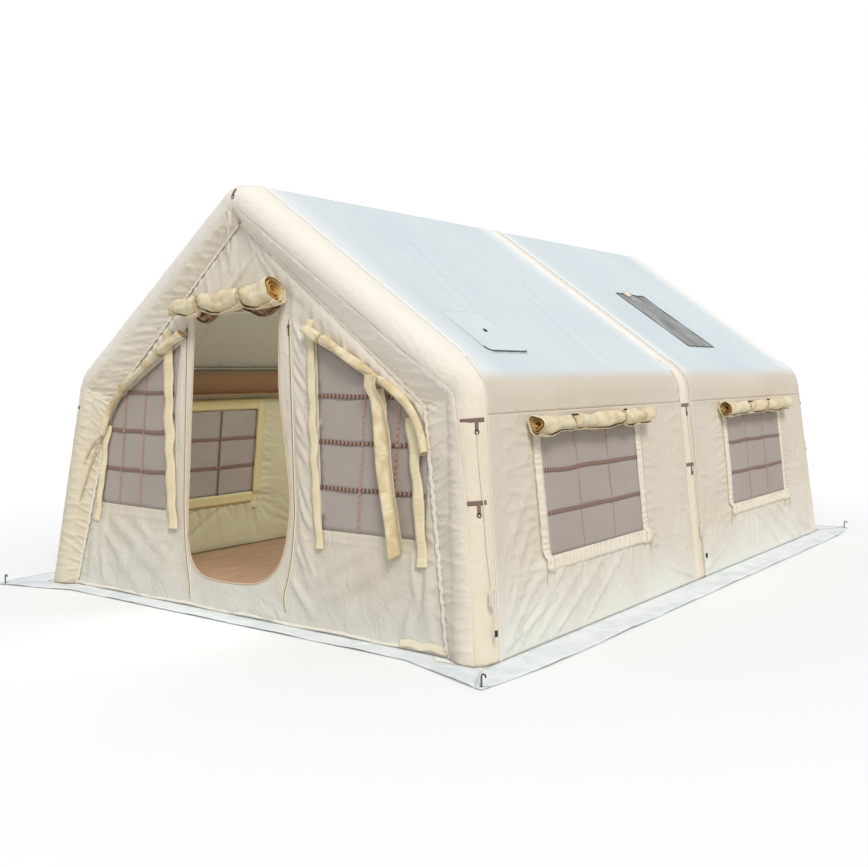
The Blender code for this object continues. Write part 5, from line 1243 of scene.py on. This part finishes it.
def cloth_roll(name, path, radius, hint, ties, turns, seed, tone, lump=0.14, toggles=None, straps=True):
    """Cloth wound into a roll: its section is a spiral whose radius falls evenly from the full one to a
    fifth. Each tie draws it in by a fifth, smooth noise lumps it, and its ends are ragged."""
    path = np.asarray(path, float)
    way = unit(np.gradient(path, axis=0))
    first = unit(np.cross(np.cross(way, np.asarray(hint, float)), way))
    second = np.cross(way, first)
    along = run_of(path)
    share = along / along[-1]
    t = np.linspace(0, 1, round(34 * turns))
    turn = t * turns * math.tau + 2.6
    draw = sum(np.exp(-((share - tie) * along[-1] / 0.028) ** 2) for tie in ties)
    base = np.asarray(radius) * np.ones(len(path)) * (1.05 - 0.30 * draw)
    field = np.stack(np.broadcast_arrays(along[:, None] * 0.8, 0.09 * np.cos(turn)[None],
                                         0.09 * np.sin(turn)[None]), -1)
    pleats = 0.13 * draw[:, None] * np.sin(7 * turn)[None] + 0.13 * np.sin(
        3 * turn[None] + along[:, None] * 24 + seed) * np.exp(-((draw[:, None] - 0.45) / 0.4) ** 2)
    pleats = pleats + 0.08 * np.sin(2 * turn[None] - along[:, None] * 17 + seed)
    size = base[:, None] * (1 - 0.8 * t[None]) * (1 + lump * hush(seed, field, 0.14, 2) + pleats)
    ends = np.clip(1 - np.minimum(share, 1 - share) * along[-1] / 0.05, 0, 1) * np.where(share < 0.5, -1, 1)
    ragged = ends[:, None] * (0.008 * np.sin(turn * 0.7 + seed) - 0.012 * t)[None]
    points = path[:, None] + first[:, None] * (size * np.cos(turn))[..., None] + \
        second[:, None] * (size * np.sin(turn))[..., None] + way[:, None] * ragged[..., None]
    run = 0.32 * t * turns
    uv = np.stack(np.broadcast_arrays(run[None], along[:, None]), -1)
    roll = build(name, points.reshape(-1, 3), quads(*points.shape[:2]), uv.reshape(-1, 2), thick=0.002)
    roll.data.materials.append(tone)
    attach(roll, "tent")
    pieces = []
    for i, tie in enumerate(ties):
        k = int(np.argmin(np.abs(share - tie)))
        angle = np.linspace(0, math.tau, 33)
        ray = first[k][None] * np.cos(angle)[:, None] + second[k][None] * np.sin(angle)[:, None]
        reach = base[k] * 1.06 + 0.002
        if straps:
            pieces.append(ribbon("strap", path[k] + ray * reach, ray, 0.016, strap_web))
        if toggles is not None:
            place = path[k] + (first[k] * math.cos(toggles) +
                               second[k] * math.sin(toggles)) * (reach + 0.008)
            lean = way[k] * 0.6 + second[k] * 0.8 * (-1) ** i
            toggle = tube("toggle", place + np.linspace(-0.021, 0.021, 7)[:, None] * lean,
                          0.0068 * np.array((0.55, 0.95, 1, 0.8, 1, 0.95, 0.55)), sides=12,
                          hint=way[k] + (0.1, 0.2, 0.3))
            toggle.data.materials.append(black_nylon)
            pieces.append(toggle)
    if pieces:
        tied = merged(f"{name}_ties", pieces)
        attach(tied, "tent")
    return roll


def sagging(start, end, ties, sag, count):
    """Points from start to end that hang down by the sag between the ties, as half waves of a sine."""
    share = np.linspace(0, 1, count)
    stops = np.array([0.0, *ties, 1.0])
    slot = np.clip(np.searchsorted(stops, share, side="right") - 1, 0, len(stops) - 2)
    part = (share - stops[slot]) / (stops[slot + 1] - stops[slot])
    line = np.asarray(start) + (np.asarray(end) - np.asarray(start)) * share[:, None]
    line[:, 2] -= sag * np.sin(math.pi * part)
    return line


for side_name, side in (("right", 1), ("left", -1)):
    for bay, arch in BAY.items():
        low, high = WINDOW_Y[bay]
        spot, out = arch_line(np.array(wall_q(1.288)))
        x = side * (spot[0] + out[0] * REACH + 0.056 * 1.12 + 0.010)
        ties = (0.27, 0.70) if bay == "front" else (0.30, 0.58)
        if side < 0:
            ties = tuple(1 - t for t in ties[::-1])
        line = sagging((x, low - 0.15, 1.290), (x, high + 0.16, 1.300), ties, 0.012, 110)
        radius = 0.0555 + 0.004 * np.cos(np.linspace(0, 9, 110))
        roll = cloth_roll(f"{side_name}_{bay}_window_cover", line, radius, (0, 0, 1), ties, 3.3,
                          100 + 3 * arch + side, roll_canvas, toggles=0.6 if side > 0 else 2.5)
        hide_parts(f"{side_name}_window_roll_{bay}")

for side_name, side in (("right", 1), ("left", -1)):
    route = ((0.57, 1.865), (0.80, 1.755), (1.05, 1.61), (1.28, 1.475), (1.42, 1.33), (1.50, 1.13))
    line = through([front_point(side * x, z, 0.048) for x, z in route], 120)
    radius = np.interp(np.linspace(0, 1, 120), (0, 0.2, 0.45, 0.7, 0.85, 1),
                       (0.034, 0.038, 0.030, 0.032, 0.025, 0.025))
    ties = (0.12, 0.52) if side > 0 else (0.24, 0.66)
    roll = cloth_roll(f"{side_name}_gable_cover", line, radius, (0, -1, 0), ties, 2.6, 120 + side,
                      roll_canvas, lump=0.16, toggles=None if side > 0 else 2.4)
    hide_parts(f"{side_name}_gable_roll")

line = sagging(front_point(-0.62, 2.035, 0.095), front_point(0.37, 2.115, 0.095), (0.05, 0.30, 0.71), 0.022,
               130)
radius = np.interp(np.linspace(0, 1, 130), (0, 0.1, 0.3, 0.5, 0.72, 0.9, 1),
                   (0.046, 0.064, 0.066, 0.074, 0.070, 0.084, 0.088))
roll = cloth_roll("rolled_door", line, radius, (0, 0, 1), (0.05, 0.30, 0.71), 3.6, 131,
                  roll_canvas, lump=0.22)
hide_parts("door_roll")

brown_net = finish("brown net of the inner door", lambda tree: noise(tree, 30.0, 4.0), "A88768", "6E5140",
                   0.8, (0.4, 0.65), bump=0.006)
share = np.linspace(0, 1, 110)
lumps = np.exp(-((share - 0.18) / 0.10) ** 2) + np.exp(-((share - 0.86) / 0.12) ** 2)
line = front_point(-0.47 + 0.80 * share, 2.004 + 0.035 * share - 0.05 * lumps, 0.045)
roll = cloth_roll("rolled_inner_door", line, 0.028 + 0.007 * lumps, (0, 0, 1), (0.36, 0.62), 2.4, 137,
                  brown_net, lump=0.18, straps=False)
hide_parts("door_net_roll")

# Gable's loose parts: the right cover's edge, which hangs from its roll in long folds, the cream
# zip covers beside the gable windows, and the left cover's two strap tails.
count_u, count_v = 60, 90
u, v = np.meshgrid(np.linspace(0, 1, count_u), np.linspace(0, 1, count_v), indexing="ij")
z = 1.585 - (1.085 - 0.075 * u) * v
share = np.maximum(1.50 - z, 0)
gather = 0.25 + 0.75 * np.clip(share / 0.3, 0, 1)
fold = 0.022 * np.sin(math.tau * 1.1 * u + 0.6) * gather
fold = fold + 0.005 * hush(141, np.stack([u * 0.3, v], -1), 0.3, 2)
x = 1.085 + 0.26 * u * (0.30 + 0.16 * np.clip(share / 0.25, 0, 1)) + 0.215 * share
x = x + 0.006 * np.sin(share * 9)
lift = 0.050 + 0.038 * np.clip((z - 1.44) / 0.08, 0, 1) + fold * np.clip((1.6 - z) / 0.12, 0.3, 1)
points = front_point(x, z, lift)
flap = build("loose_cover_edge", points.reshape(-1, 3), quads(count_u, count_v),
             np.stack([u * 0.26, v], -1).reshape(-1, 2), inside=(1.3, 0, 1), thick=0.0025)
flap.data.materials.append(roll_canvas)
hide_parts("gable_loose_flap")
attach(flap, "tent")
area = grid_area(points)

strip_canvas = canvas("cream zip cover", "F1E4C2", "DCC48F", cockle=0.004, cockle_size=0.09)
covers = []
for width, route in (
        (0.056, ((0.592, 1.925), (0.636, 1.43), (0.688, 0.93), (0.742, 0.515))),
        (0.085, ((-0.757, 1.885), (-0.735, 1.55), (-0.708, 1.19), (-0.662, 0.75), (-0.634, 0.515))),
        (0.070, ((1.372, 1.335), (1.418, 1.10), (1.472, 0.80), (1.520, 0.486))),
        (0.050, ((1.150, 1.50), (1.185, 1.32), (1.225, 1.08), (1.262, 0.82))),
        (0.058, ((-1.462, 1.20), (-1.495, 0.85), (-1.522, 0.495)))):
    flat = through(route, 150)
    line = front_point(flat[:, 0] + 0.004 * np.sin(flat[:, 1] * 23), flat[:, 1], 0.023)
    line[:, 1] -= 0.004 * np.sin(flat[:, 1] * 31) + 0.0006 * np.sin(flat[:, 1] * 160)
    covers.append(ribbon("cover", line, (0.12, -1, 0.06), width * (1 + 0.10 * np.sin(flat[:, 1] * 17)),
                         strip_canvas, thick=0.003, lift=0.0005 * np.sin(flat[:, 1] * 210)[:, None]))
for route in (((-1.50, 1.12), (-1.60, 1.06), (-1.70, 0.90), (-1.765, 0.74)),
              ((-1.52, 1.06), (-1.58, 0.98), (-1.65, 0.80), (-1.71, 0.63))):
    line = through([front_point(x, z, 0.05) for x, z in route], 40)
    covers.append(ribbon("tail", line, (0, -1, 0.06), 0.016, strap_web))
covers = merged("gable_zip_covers", covers)
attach(covers, "tent")

# Door: the zips' tapes and teeth beside the opening, and the piping round its edge.
# Painted shade: the hollows between the teeth are darker.
teeth_nylon = finish("brown nylon zip teeth", ribs(0.006), "75573F", "A5825F", 0.45, (-1, 1), 0.001, 0.8)
for name, route in ZIPS.items():
    flat = evenly(route, 120)
    out = (0, -1, DOOR_LEAN)
    band = ribbon("tape", front_point(flat[:, 0], flat[:, 1], 0.0004), out, 0.022,
                  binding_canvas, thick=0.001)
    teeth = tube("teeth", front_point(flat[:, 0], flat[:, 1], 0.0012), 0.0028, sides=8, hint=(0, 1, 0))
    teeth.data.materials.append(teeth_nylon)
    zip_piece = merged(f"{name}_door_zip", [band, teeth])
    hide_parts(f"door_zip_{name}")
    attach(zip_piece, "tent")
piping_line = np.array(DOOR_EDGE)
piping = tube("door_piping", front_point(piping_line[:, 0], piping_line[:, 1], 0.0015), 0.0045, sides=8,
              hint=(0, 1, 0))
piping.data.materials.append(piping_tape)
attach(piping, "tent")

# Facings: along each end arch a strip of gable cloth runs from a puckered piping over the sleeve. The
# hems are the bright edges of the bands that the roof and walls are sewn to.
seam_canvas = canvas("seam canvas", "F5EEE0", "E2D6BF", cockle=0.002, cockle_size=0.02)
hem_canvas = canvas("bright hem", "FFFFFC", "FAF8F2", cockle=0.002, cockle_size=0.02)
# Painted light and shade: the facings' canvas is painted lighter than the gable's, and lighter still above
# the eave, to lift the shade under the sleeve, and the left facings take a darker copy, painted shade.
lit_facing_cloth = canvas("beige facing canvas with painted light", "EEE4D3", "DFD3BD", cockle=0.004, wrinkle=(4, 4, 6),
                       wrinkle_depth=0.006, top="FFF7EB")
shaded_left_facing_cloth = canvas("left facing canvas with painted shade", "E3D7BF", "D3C5AA", cockle=0.004, wrinkle=(4, 4, 6),
                          wrinkle_depth=0.006, top="F5ECDC")


def facing_folds(length, width, seed):
    """Folds of a facing in metres across it from its piping and up along the arch: fans that start at
    the piping, and shorter ones from its outer edge."""
    dice = np.random.default_rng(seed)
    folds = []
    for s in np.arange(0.05, length, 0.066):
        reach = dice.uniform(0.6, 1.1) * width
        climb = 0.16 if s > 1.5 else 0.0
        folds.append((0.004, s, reach, s - climb + dice.uniform(-0.07, 0.09), 0.011, 0.013, 0))
        folds.append((width + 0.01, s + 0.03, width * dice.uniform(0.2, 0.6),
                      s + climb + dice.uniform(-0.03, 0.06), 0.010, 0.008, 0))
    return folds


FACING_REACH = 0.1232  # a facing's distance from the axis of the beam that it wraps
for name, arch in (("front", -1), ("rear", 1)):
    pipings = []
    for side_name, side in (("right", 1), ("left", -1)):
        q = np.concatenate([np.linspace(0.002, 1, 150)[:-1], np.linspace(1, 3, 50)[:-1],
                            np.linspace(3, 4.85, 190)])
        spot, _ = arch_line(q)
        run = run_of(spot)
        bend = np.interp(2.0, q, run)
        share = np.stack([run, run], -1)
        foot, corner, top = (np.array(p) for p in FACING)
        start = np.where(share < bend, foot + (corner - foot) * share / bend,
                         corner + (top - corner) * (share - bend) / (run[-1] - bend))
        depth = gable_depth(start[:, 0], start[:, 1]) + 0.009
        first = np.stack([start[:, 0], arch * depth, start[:, 1]], -1)
        edge = np.radians(np.interp(spot[:, 1], (0, 0.3, 0.88, 1.335, 1.5, 1.75),
                                    (58, 60, 66, 88, 96, 108)))
        back = np.radians(np.interp(spot[:, 1], (0, 1.4, 1.75), (132, 132, 118)))[:, None]
        turn = back + (edge[:, None] - back) * np.linspace(0, 1, 16)[None]
        wrapped = on_arch(arch, q[:, None], FACING_REACH * np.cos(turn), FACING_REACH * np.sin(turn))
        bridge = np.linspace(0, 1, 16)[None, :-1, None]
        points = np.concatenate([first[:, None] + (wrapped[:, :1] - first[:, None]) * bridge, wrapped], 1)
        steps = np.linalg.norm(np.diff(points, axis=1), axis=2)
        across = np.concatenate([np.zeros((len(q), 1)), np.cumsum(steps, 1)], 1)
        normal = np.cross(np.gradient(points, axis=0), np.gradient(points, axis=1))
        normal = unit(normal) * np.sign((normal * (0, arch, 0)).sum(-1).mean())
        held = np.clip(across / 0.012, 0, 1) * np.clip((across[:, -1:] - across) / 0.02, 0.1, 1)
        field = np.stack([across, np.repeat(run[:, None], across.shape[1], 1)], -1)
        rise = line_folds(across, field[..., 1], facing_folds(run[-1], 0.23, 301 + arch + 5 * side))
        rise = eased(rise + 0.004 * hush(303 + side, field, 0.25, 2), -0.002, 0.019) * held
        points = points + normal * rise[..., None]
        points[..., 0] *= side
        area = grid_area(points)
        facing = build(f"{name}_{side_name}_facing", points.reshape(-1, 3), quads(*across.shape),
                       field.reshape(-1, 2), inside=(0, 0, 1.2), thick=0.002)
        facing.data.materials.append(lit_facing_cloth if side > 0 else shaded_left_facing_cloth)
        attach(facing, "tent")
        line = evenly(points[:, 0] + (0, arch * 0.003, 0), 420)
        wiggle = np.linspace(0, 1, 420) * run[-1]
        line[:, 0] += 0.0035 * np.sin(wiggle * 71 + 2 * np.sin(wiggle * 13))
        inward = unit(np.cross(np.gradient(line, axis=0), (0, side, 0)))
        inward *= np.sign((inward * (-side, 0, -0.5)).sum(-1, keepdims=True))
        beside = line + 0.010 * inward + (0, arch * 0.003, 0)
        pipings.append(ribbon("seam tape", beside[5:], (0, arch, 0.05),
                              (0.019 + 0.003 * np.sin(wiggle * 60))[5:], seam_canvas,
                              lift=0.0012 * np.sin(wiggle * 150)[5:, None]))
        piping = tube("piping", line, 0.0048, sides=8, hint=(0, 1, 0),
                      lump=lambda along, turn: 0.0012 * np.sin(along * 210))
        piping.data.materials.append(seam_canvas)
        pipings.append(piping)
    x = np.linspace(-1.735, 1.735, 400)
    z = 0.017 + 0.004 * np.sin(x * 9)
    depth = gable_depth(x, z) + 0.006 + 0.002 * np.sin(x * 31 + 2 * np.sin(x * 7))
    line = np.stack([x, arch * depth, z], -1)
    pipings.append(ribbon("foot hem", line, (0, arch, 0.3), 0.020, seam_canvas, thick=0.003))
    if arch < 0:
        x = np.linspace(1.38, 1.738, 60)
        line = np.stack([x, -gable_depth(x, 0.04 + 0 * x) - 0.012, 0.040 + 0.006 * np.sin(x * 40)], -1)
        pipings.append(ribbon("foot patch", line, (0, arch, 0.3), 0.045, binding_canvas, thick=0.003))
    seam = merged(f"{name}_gable_seam", pipings)
    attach(seam, "tent")
q = stations(60, 40, 90)
hems = []
for arch, c in ((-1, -BAND), (1, -BAND), (0, BAND), (0, -BAND)):
    heights = arch_line(q)[0][:, 1]
    at = -band_cover(heights) if arch else 0 * q + c
    lift = 0.001 + 0.0026 * np.clip((BAND - 0.002 + at) / 0.01, 0, 1) * abs(arch)
    line = on_arch(arch, q, REACH + lift, at)
    first, last = np.flatnonzero(heights > 1.58)[[0, -1]]
    for part, radius, finish_of in ((slice(0, first + 1), 0.0028, seam_canvas),
                                    (slice(first, last + 1), 0.0055, hem_canvas),
                                    (slice(last, None), 0.0028, seam_canvas)):
        hem = tube("hem", line[part], radius, sides=8, hint=(0, 1, 0),
                   lump=lambda along, turn: 0.0006 * np.sin(along * 180))
        hem.data.materials.append(finish_of)
        hems.append(hem)
hems = merged("sleeve_hems", hems)
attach(hems, "tent")

# Webbing tees: brown polyester bands across each column at two heights, each with a tab and a black
# ring for a guy rope, and a tab and ring over the front arch's top.
tee_web = canvas("brown tee webbing", "8C746A", "6E584E", thread=0.004, cockle=0.001, dirt=0.5)
BAND_WIDTH, TAB_WIDTH = 0.026, 0.022
END_REACH, MIDDLE_REACH, TOP_REACH = 0.1178, 0.1215, 0.1185  # webbing's distance from a beam's axis


def ring(name, centre, along, across):
    """Round ring of 5 mm wire, 23 mm wide, in the plane of two unit directions."""
    turn = np.linspace(0, math.tau, 33)
    line = centre + 0.0115 * (np.outer(np.sin(turn), along) + np.outer(np.cos(turn), across))
    made = tube(name, line, 0.0028, sides=10, hint=np.cross(along, across))
    made.data.materials.append(black_nylon)
    return made


def round_arch(arch, q, turn, reach):
    """Point and unit way out on a sleeve, at a turn round the beam from straight out."""
    inner, outer = (on_arch(arch, q, r * np.cos(turn), r * np.sin(turn)) for r in (reach, reach + 0.1))
    return inner, unit(outer - inner)


for name, arch in (("front", -1), ("middle", 0), ("rear", 1)):
    tees = []
    for z in (1.335, 0.88):
        for side in (1, -1):
            def column(height):
                """Place q on this side's column at a height."""
                return wall_q(height) if side > 0 else 10 - wall_q(height)

            if arch:
                turn = np.radians(np.linspace(8, 80, 24))
                line, out = round_arch(arch, np.full(24, column(z)), turn, END_REACH)
                tab_turn, tab_reach = math.radians(33.75), END_REACH + 0.0002
            else:
                across = np.linspace(-0.092, 0.048, 16)
                line = on_arch(0, np.full(16, column(z)), np.full(16, MIDDLE_REACH), across)
                out = round_arch(0, np.array([column(z)]), np.array([0.0]), MIDDLE_REACH)[1]
                tab_turn, tab_reach = 0.0, MIDDLE_REACH
            tees.append(ribbon("band", line, out, BAND_WIDTH, tee_web, thick=0.0022))
            drop = np.linspace(-0.004, 0.062, 8)
            heights = np.array([column(z - d) for d in drop])
            line, out = round_arch(arch, heights, np.full(8, tab_turn), tab_reach + 0.0018)
            tees.append(ribbon("tab", line, out, TAB_WIDTH, tee_web, thick=0.0022))
            centre, out = round_arch(arch, np.array([column(z - 0.066)]), np.array([tab_turn]),
                                     tab_reach + 0.003)
            along = unit(line[0] - line[-1])
            tees.append(ring("ring", centre[0], along, np.cross(along, out[0])))
    if arch < 0:
        turn = np.radians(np.linspace(46, 72, 8))
        line, out = round_arch(-1, np.full(8, 5.0), turn, TOP_REACH)
        tees.append(ribbon("tab", line, out, TAB_WIDTH, tee_web, thick=0.002))
        along = unit(line[-1] - line[-2])
        tees.append(ring("ring", line[-1] + along * 0.008, along, np.array((1.0, 0, 0))))
    tees = merged(f"{name}_arch_tees", tees)
    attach(tees, "tent")

# Skylight: a pane of smoky clear film, wrinkled by heat, in a hemmed opening of the rear bay's roof.
# Painted highlights: the light streaks on the dark film.
smoky_film = finish("smoky PVC film", lambda tree: noise(tree, 1.0, 4.0, 1.2, "UV", (30.0, 3.5, 1.0)),
                    "5C5C58", "C2C2BE", 0.28, (0.38, 0.68), 0.02, 0.6)
q = np.linspace(*sorted(roof_q(x) for x in SKYLIGHT_X), 60)
y = np.linspace(*SKYLIGHT_Y, 50)
grid_q, grid_y = np.meshgrid(q, y, indexing="ij")
points = roof_point(grid_q, grid_y, depth=0.001, seed=4)
pane = build("skylight_pane", points.reshape(-1, 3), quads(60, 50),
             np.stack([grid_y, grid_q], -1).reshape(-1, 2), inside=(0, 1.4, 1.0), thick=0.0008)
pane.data.materials.append(smoky_film)
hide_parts("skylight_film")
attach(pane, "tent")


def roof_normal(q):
    """Unit way out of the roof's slope at q, in x, y and z."""
    _, out = arch_line(np.asarray(q, float))
    return np.stack([out[..., 0], 0 * out[..., 0], out[..., 1]], -1)


def roof_hem(corner_q, corner_y, seed, width, tone, lift=0.0015):
    """Flat hem along a straight line on the roof from one corner to another."""
    run = np.linspace(0, 1, 60)
    q = corner_q[0] + (corner_q[1] - corner_q[0]) * run
    y = corner_y[0] + (corner_y[1] - corner_y[0]) * run
    return ribbon("hem", roof_point(q, y, depth=-lift, seed=seed), roof_normal(q), width, tone)


dark_hem = finish("grey stitched edge", ribs(0.008), "4C4D4B", "666867", 0.8, (-1, 1))
low_q, high_q = q[0], q[-1]
hems = [roof_hem((low_q, high_q), (y0, y0), 4, 0.018, dark_hem) for y0 in SKYLIGHT_Y]
hems += [roof_hem((q0, q0), SKYLIGHT_Y, 4, 0.018, dark_hem) for q0 in (low_q, high_q)]
hems.append(roof_hem((high_q - 0.005, high_q + 0.004), (1.10, 1.22), 4, 0.07, binding_canvas, 0.005))
hems = merged("skylight_hems", hems)
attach(hems, "tent")

# Stove opening: a panel with a pipe hole in the front bay's roof, and its cloth cover, which lifts about
# its upper edge and snaps shut with a black button.
# Its bluish white, as on the roof's slopes, is a painted reflection of the sky.
plain_roof = canvas("coated cotton of the stove cover", "DFE6E9", "CED8DC", cockle=0.006, cockle_size=0.06)
low_q, high_q = sorted(roof_q(x) for x in STOVE_X)
middle_q, middle_y = (low_q + high_q) / 2, sum(STOVE_Y) / 2
slope_length = math.hypot(STOVE_X[1] - STOVE_X[0], (STOVE_X[1] - STOVE_X[0]) / math.tan(ROOF_ANGLE))
per_q = slope_length / (high_q - low_q)
PIPE_HOLE = 0.062  # half the width of the pipe hole


def round_line(radius):
    """Oval round the pipe hole's middle, 1.15 times as long as wide, as metres down the slope and along
    the tent."""
    turn = np.linspace(0, math.tau, 49)
    return np.stack([middle_q * per_q + 1.15 * radius * np.cos(turn), middle_y + radius * np.sin(turn)], -1)


outline = [(q * per_q, y) for q, y in ((low_q, STOVE_Y[0]), (high_q, STOVE_Y[0]), (high_q, STOVE_Y[1]),
                                       (low_q, STOVE_Y[1]))]
flat, faces, area = panel(outline, [round_line(PIPE_HOLE)[:-1]], 0.014)
points = roof_point(flat[:, 0] / per_q, flat[:, 1], depth=0.0005, seed=2)
panel_cloth = build("stove_opening_panel", points, faces, flat[:, ::-1], inside=(0, -1.4, 1.0),
                    thick=0.0018)
panel_cloth.data.materials.append(plain_roof)
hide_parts("stove_panel")
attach(panel_cloth, "tent")
line = round_line(PIPE_HOLE + 0.009)
pipe_hem = ribbon("stove_pipe_hem", roof_point(line[:, 0] / per_q, line[:, 1], depth=-0.0015, seed=2),
                  roof_normal(line[:, 0] / per_q), 0.016, dark_hem)
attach(pipe_hem, "tent")

top, low = (roof_point(np.array(q), np.array(middle_y), seed=2) for q in (high_q, low_q))
down = unit(low - top)
out = roof_normal((low_q + high_q) / 2)
outline = [(0.0, -0.216), (slope_length - 0.06, -0.216), (slope_length - 0.025, -0.205),
           (slope_length - 0.012, -0.17), (slope_length - 0.010, 0.205), (slope_length - 0.02, 0.216),
           (0.0, 0.216)]
flat, faces, area = panel(outline, [], 0.012)
calm = np.clip(-far_from(flat[:, 0], flat[:, 1], outline) / 0.02, 0.25, 1)
rise = 0.0065 + 0.0022 * hush(151, flat, 0.16, 2) * calm
rise = rise + 0.004 * np.exp(-((flat[:, 0] - slope_length / 2) ** 2 + flat[:, 1] ** 2) / 0.004)
points = top + flat[:, :1] * down + flat[:, 1:] * np.array((0, 1.0, 0)) + rise[:, None] * out
cover = build("stove_cover_cloth", points, faces, flat[:, ::-1], inside=(0, middle_y, 1), thick=0.0025)
cover.data.materials.append(plain_roof)
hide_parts("stove_cover")
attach(cover, "stove_cover")
spot = top + down * slope_length / 2 + out * 0.014
snap = tube("stove_cover_snap", spot + np.array((0, 0.003, 0.0045, 0.0055))[:, None] * out,
            (0.0155, 0.0155, 0.012, 0.006), sides=20, hint=(0, 1, 0))
snap.data.materials.append(black_nylon)
# The dark trim along the cover's lower edge is partly its stitched edge and partly painted shadow under the
# lifted cloth.
edge = evenly(outline[1:6], 90)
line = top + edge[:, :1] * down + edge[:, 1:] * np.array((0, 1.0, 0)) + 0.0080 * out
trim = ribbon("trim", line, out, 0.010, dark_hem)
trim = merged("stove_cover_trim", [snap, trim])
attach(trim, "stove_cover")

# Groundsheet: brown PVC laid flat inside, with notches round the arches' legs.
brown_sheet = finish("brown PVC groundsheet",
                     lambda tree: noise(tree, 1.0, 5.0, 1.6, stretch=(9.0, 1.6, 1.0)),
                     "BE9A80", "AE886E", 0.6, (0.3, 0.7), 0.006, 0.4)
side_line = [(1.739, -2.9342), (1.739, -2.778), (1.994, -2.778), (1.994, -0.1195), (1.757, -0.1195),
             (1.757, 0.1195), (1.994, 0.1195), (1.994, 2.778), (1.739, 2.778), (1.739, 2.9342)]
outline = side_line + [(-x, -y) for x, y in side_line]
flat, faces, area = panel(outline, [], 0.09)
height = 0.004 + 0.0008 * hush(161, flat, 0.7, 2)
floor = build("floor_sheet", np.column_stack([flat, height]), faces, flat, inside=(0, 0, -9), thick=0.0015)
floor.data.materials.append(brown_sheet)
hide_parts("groundsheet")
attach(floor, "tent")

# Ground skirt: bluish-white PVC flap in four lengths round the tent, laid out on the ground in low
# waves, with a peg hole at each corner's tip.
skirt_film = finish("bluish-white PVC skirt", lambda tree: noise(tree, 5.0, 4.0, 1.0), "F1F4F5", "DFE7EB",
                    0.5, (0.38, 0.66), bump=0.014)
WALL_X, WALL_Y, ARCH_Y, TIP = 2.0015, 2.9447, 3.0215, (2.20, 3.32)
right_half = [(WALL_X, ARCH_Y), (WALL_X + 0.002, ARCH_Y + 0.001), (2.155, 3.31), TIP, (2.2585, 2.75)]
front_half = [(1.62, WALL_Y), (1.70, ARCH_Y + 0.004), (WALL_X - 0.004, ARCH_Y + 0.004), (2.148, 3.308),
              (1.55, WALL_Y + 0.17)]
peg_hole = [(TIP[0] - 0.03 + 0.008 * math.cos(t), TIP[1] - 0.05 + 0.008 * math.sin(t))
            for t in np.linspace(0, math.tau, 13)[:-1]]
for name, sign in (("right", 1), ("left", -1), ("front", -1), ("rear", 1)):
    if name in ("right", "left"):
        outline = [(sign * x, y) for x, y in right_half] + [(sign * x, -y) for x, y in reversed(right_half)]
        holes = [[(sign * x, y) for x, y in peg_hole], [(sign * x, -y) for x, y in peg_hole]]
    else:
        outline = [(x, sign * y) for x, y in front_half] + [(-x, sign * y) for x, y in reversed(front_half)]
        holes = []
    flat, faces, area = panel(outline, holes, 0.035)
    u, v = flat[:, 0], flat[:, 1]
    away = np.clip(np.maximum(np.maximum(np.abs(u) - 2.0, np.abs(v) - 2.9402), 0) / 0.257, 0, 1)
    wave = 0.5 + 0.5 * np.sin(u * 9.0 + v * 7.0)
    height = 0.003 + away * (0.007 * wave + 0.005 * np.clip(hush(171, flat, 0.28, 2) + 0.3, 0, 2))
    still = np.clip(np.hypot(np.abs(u) - TIP[0] + 0.03, np.abs(v) - TIP[1] + 0.05) / 0.06, 0, 1)
    height = 0.003 + (height - 0.003) * still
    skirt = build(f"{name}_ground_flap", np.column_stack([flat, height]), faces, flat,
                  inside=(0, 0, -9), thick=0.0018)
    skirt.data.materials.append(skirt_film)
    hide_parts(f"{name}_skirt")
    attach(skirt, "tent")
    low, high = np.array(outline).min(0), np.array(outline).max(0)

# Hard parts: zip sliders of brass, adjusters, valve and cap of black nylon, and steel pegs.
brass = finish("aged brass", lambda tree: noise(tree, 180.0), "6E5B48", "8A7354", 0.38, metal=1.0)
steel = finish("galvanised steel", lambda tree: noise(tree, 140.0), "5A5C5E", "7B7D80", 0.42, metal=1.0)
for node, finish_of in (("door_slider_left", brass), ("door_slider_right", brass),
                        ("front_tensioner", black_nylon), ("middle_tensioner", black_nylon),
                        ("inflation_valve", black_nylon), ("valve_cap", black_nylon),
                        ("front_right_peg", steel), ("rear_right_peg", steel), ("front_left_peg", steel)):
    for made in (o for o in bpy.data.objects if o.type == "MESH"
                 and (o.name == node or o.get("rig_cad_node") == node)):
        for slot in made.material_slots:
            slot.material = finish_of
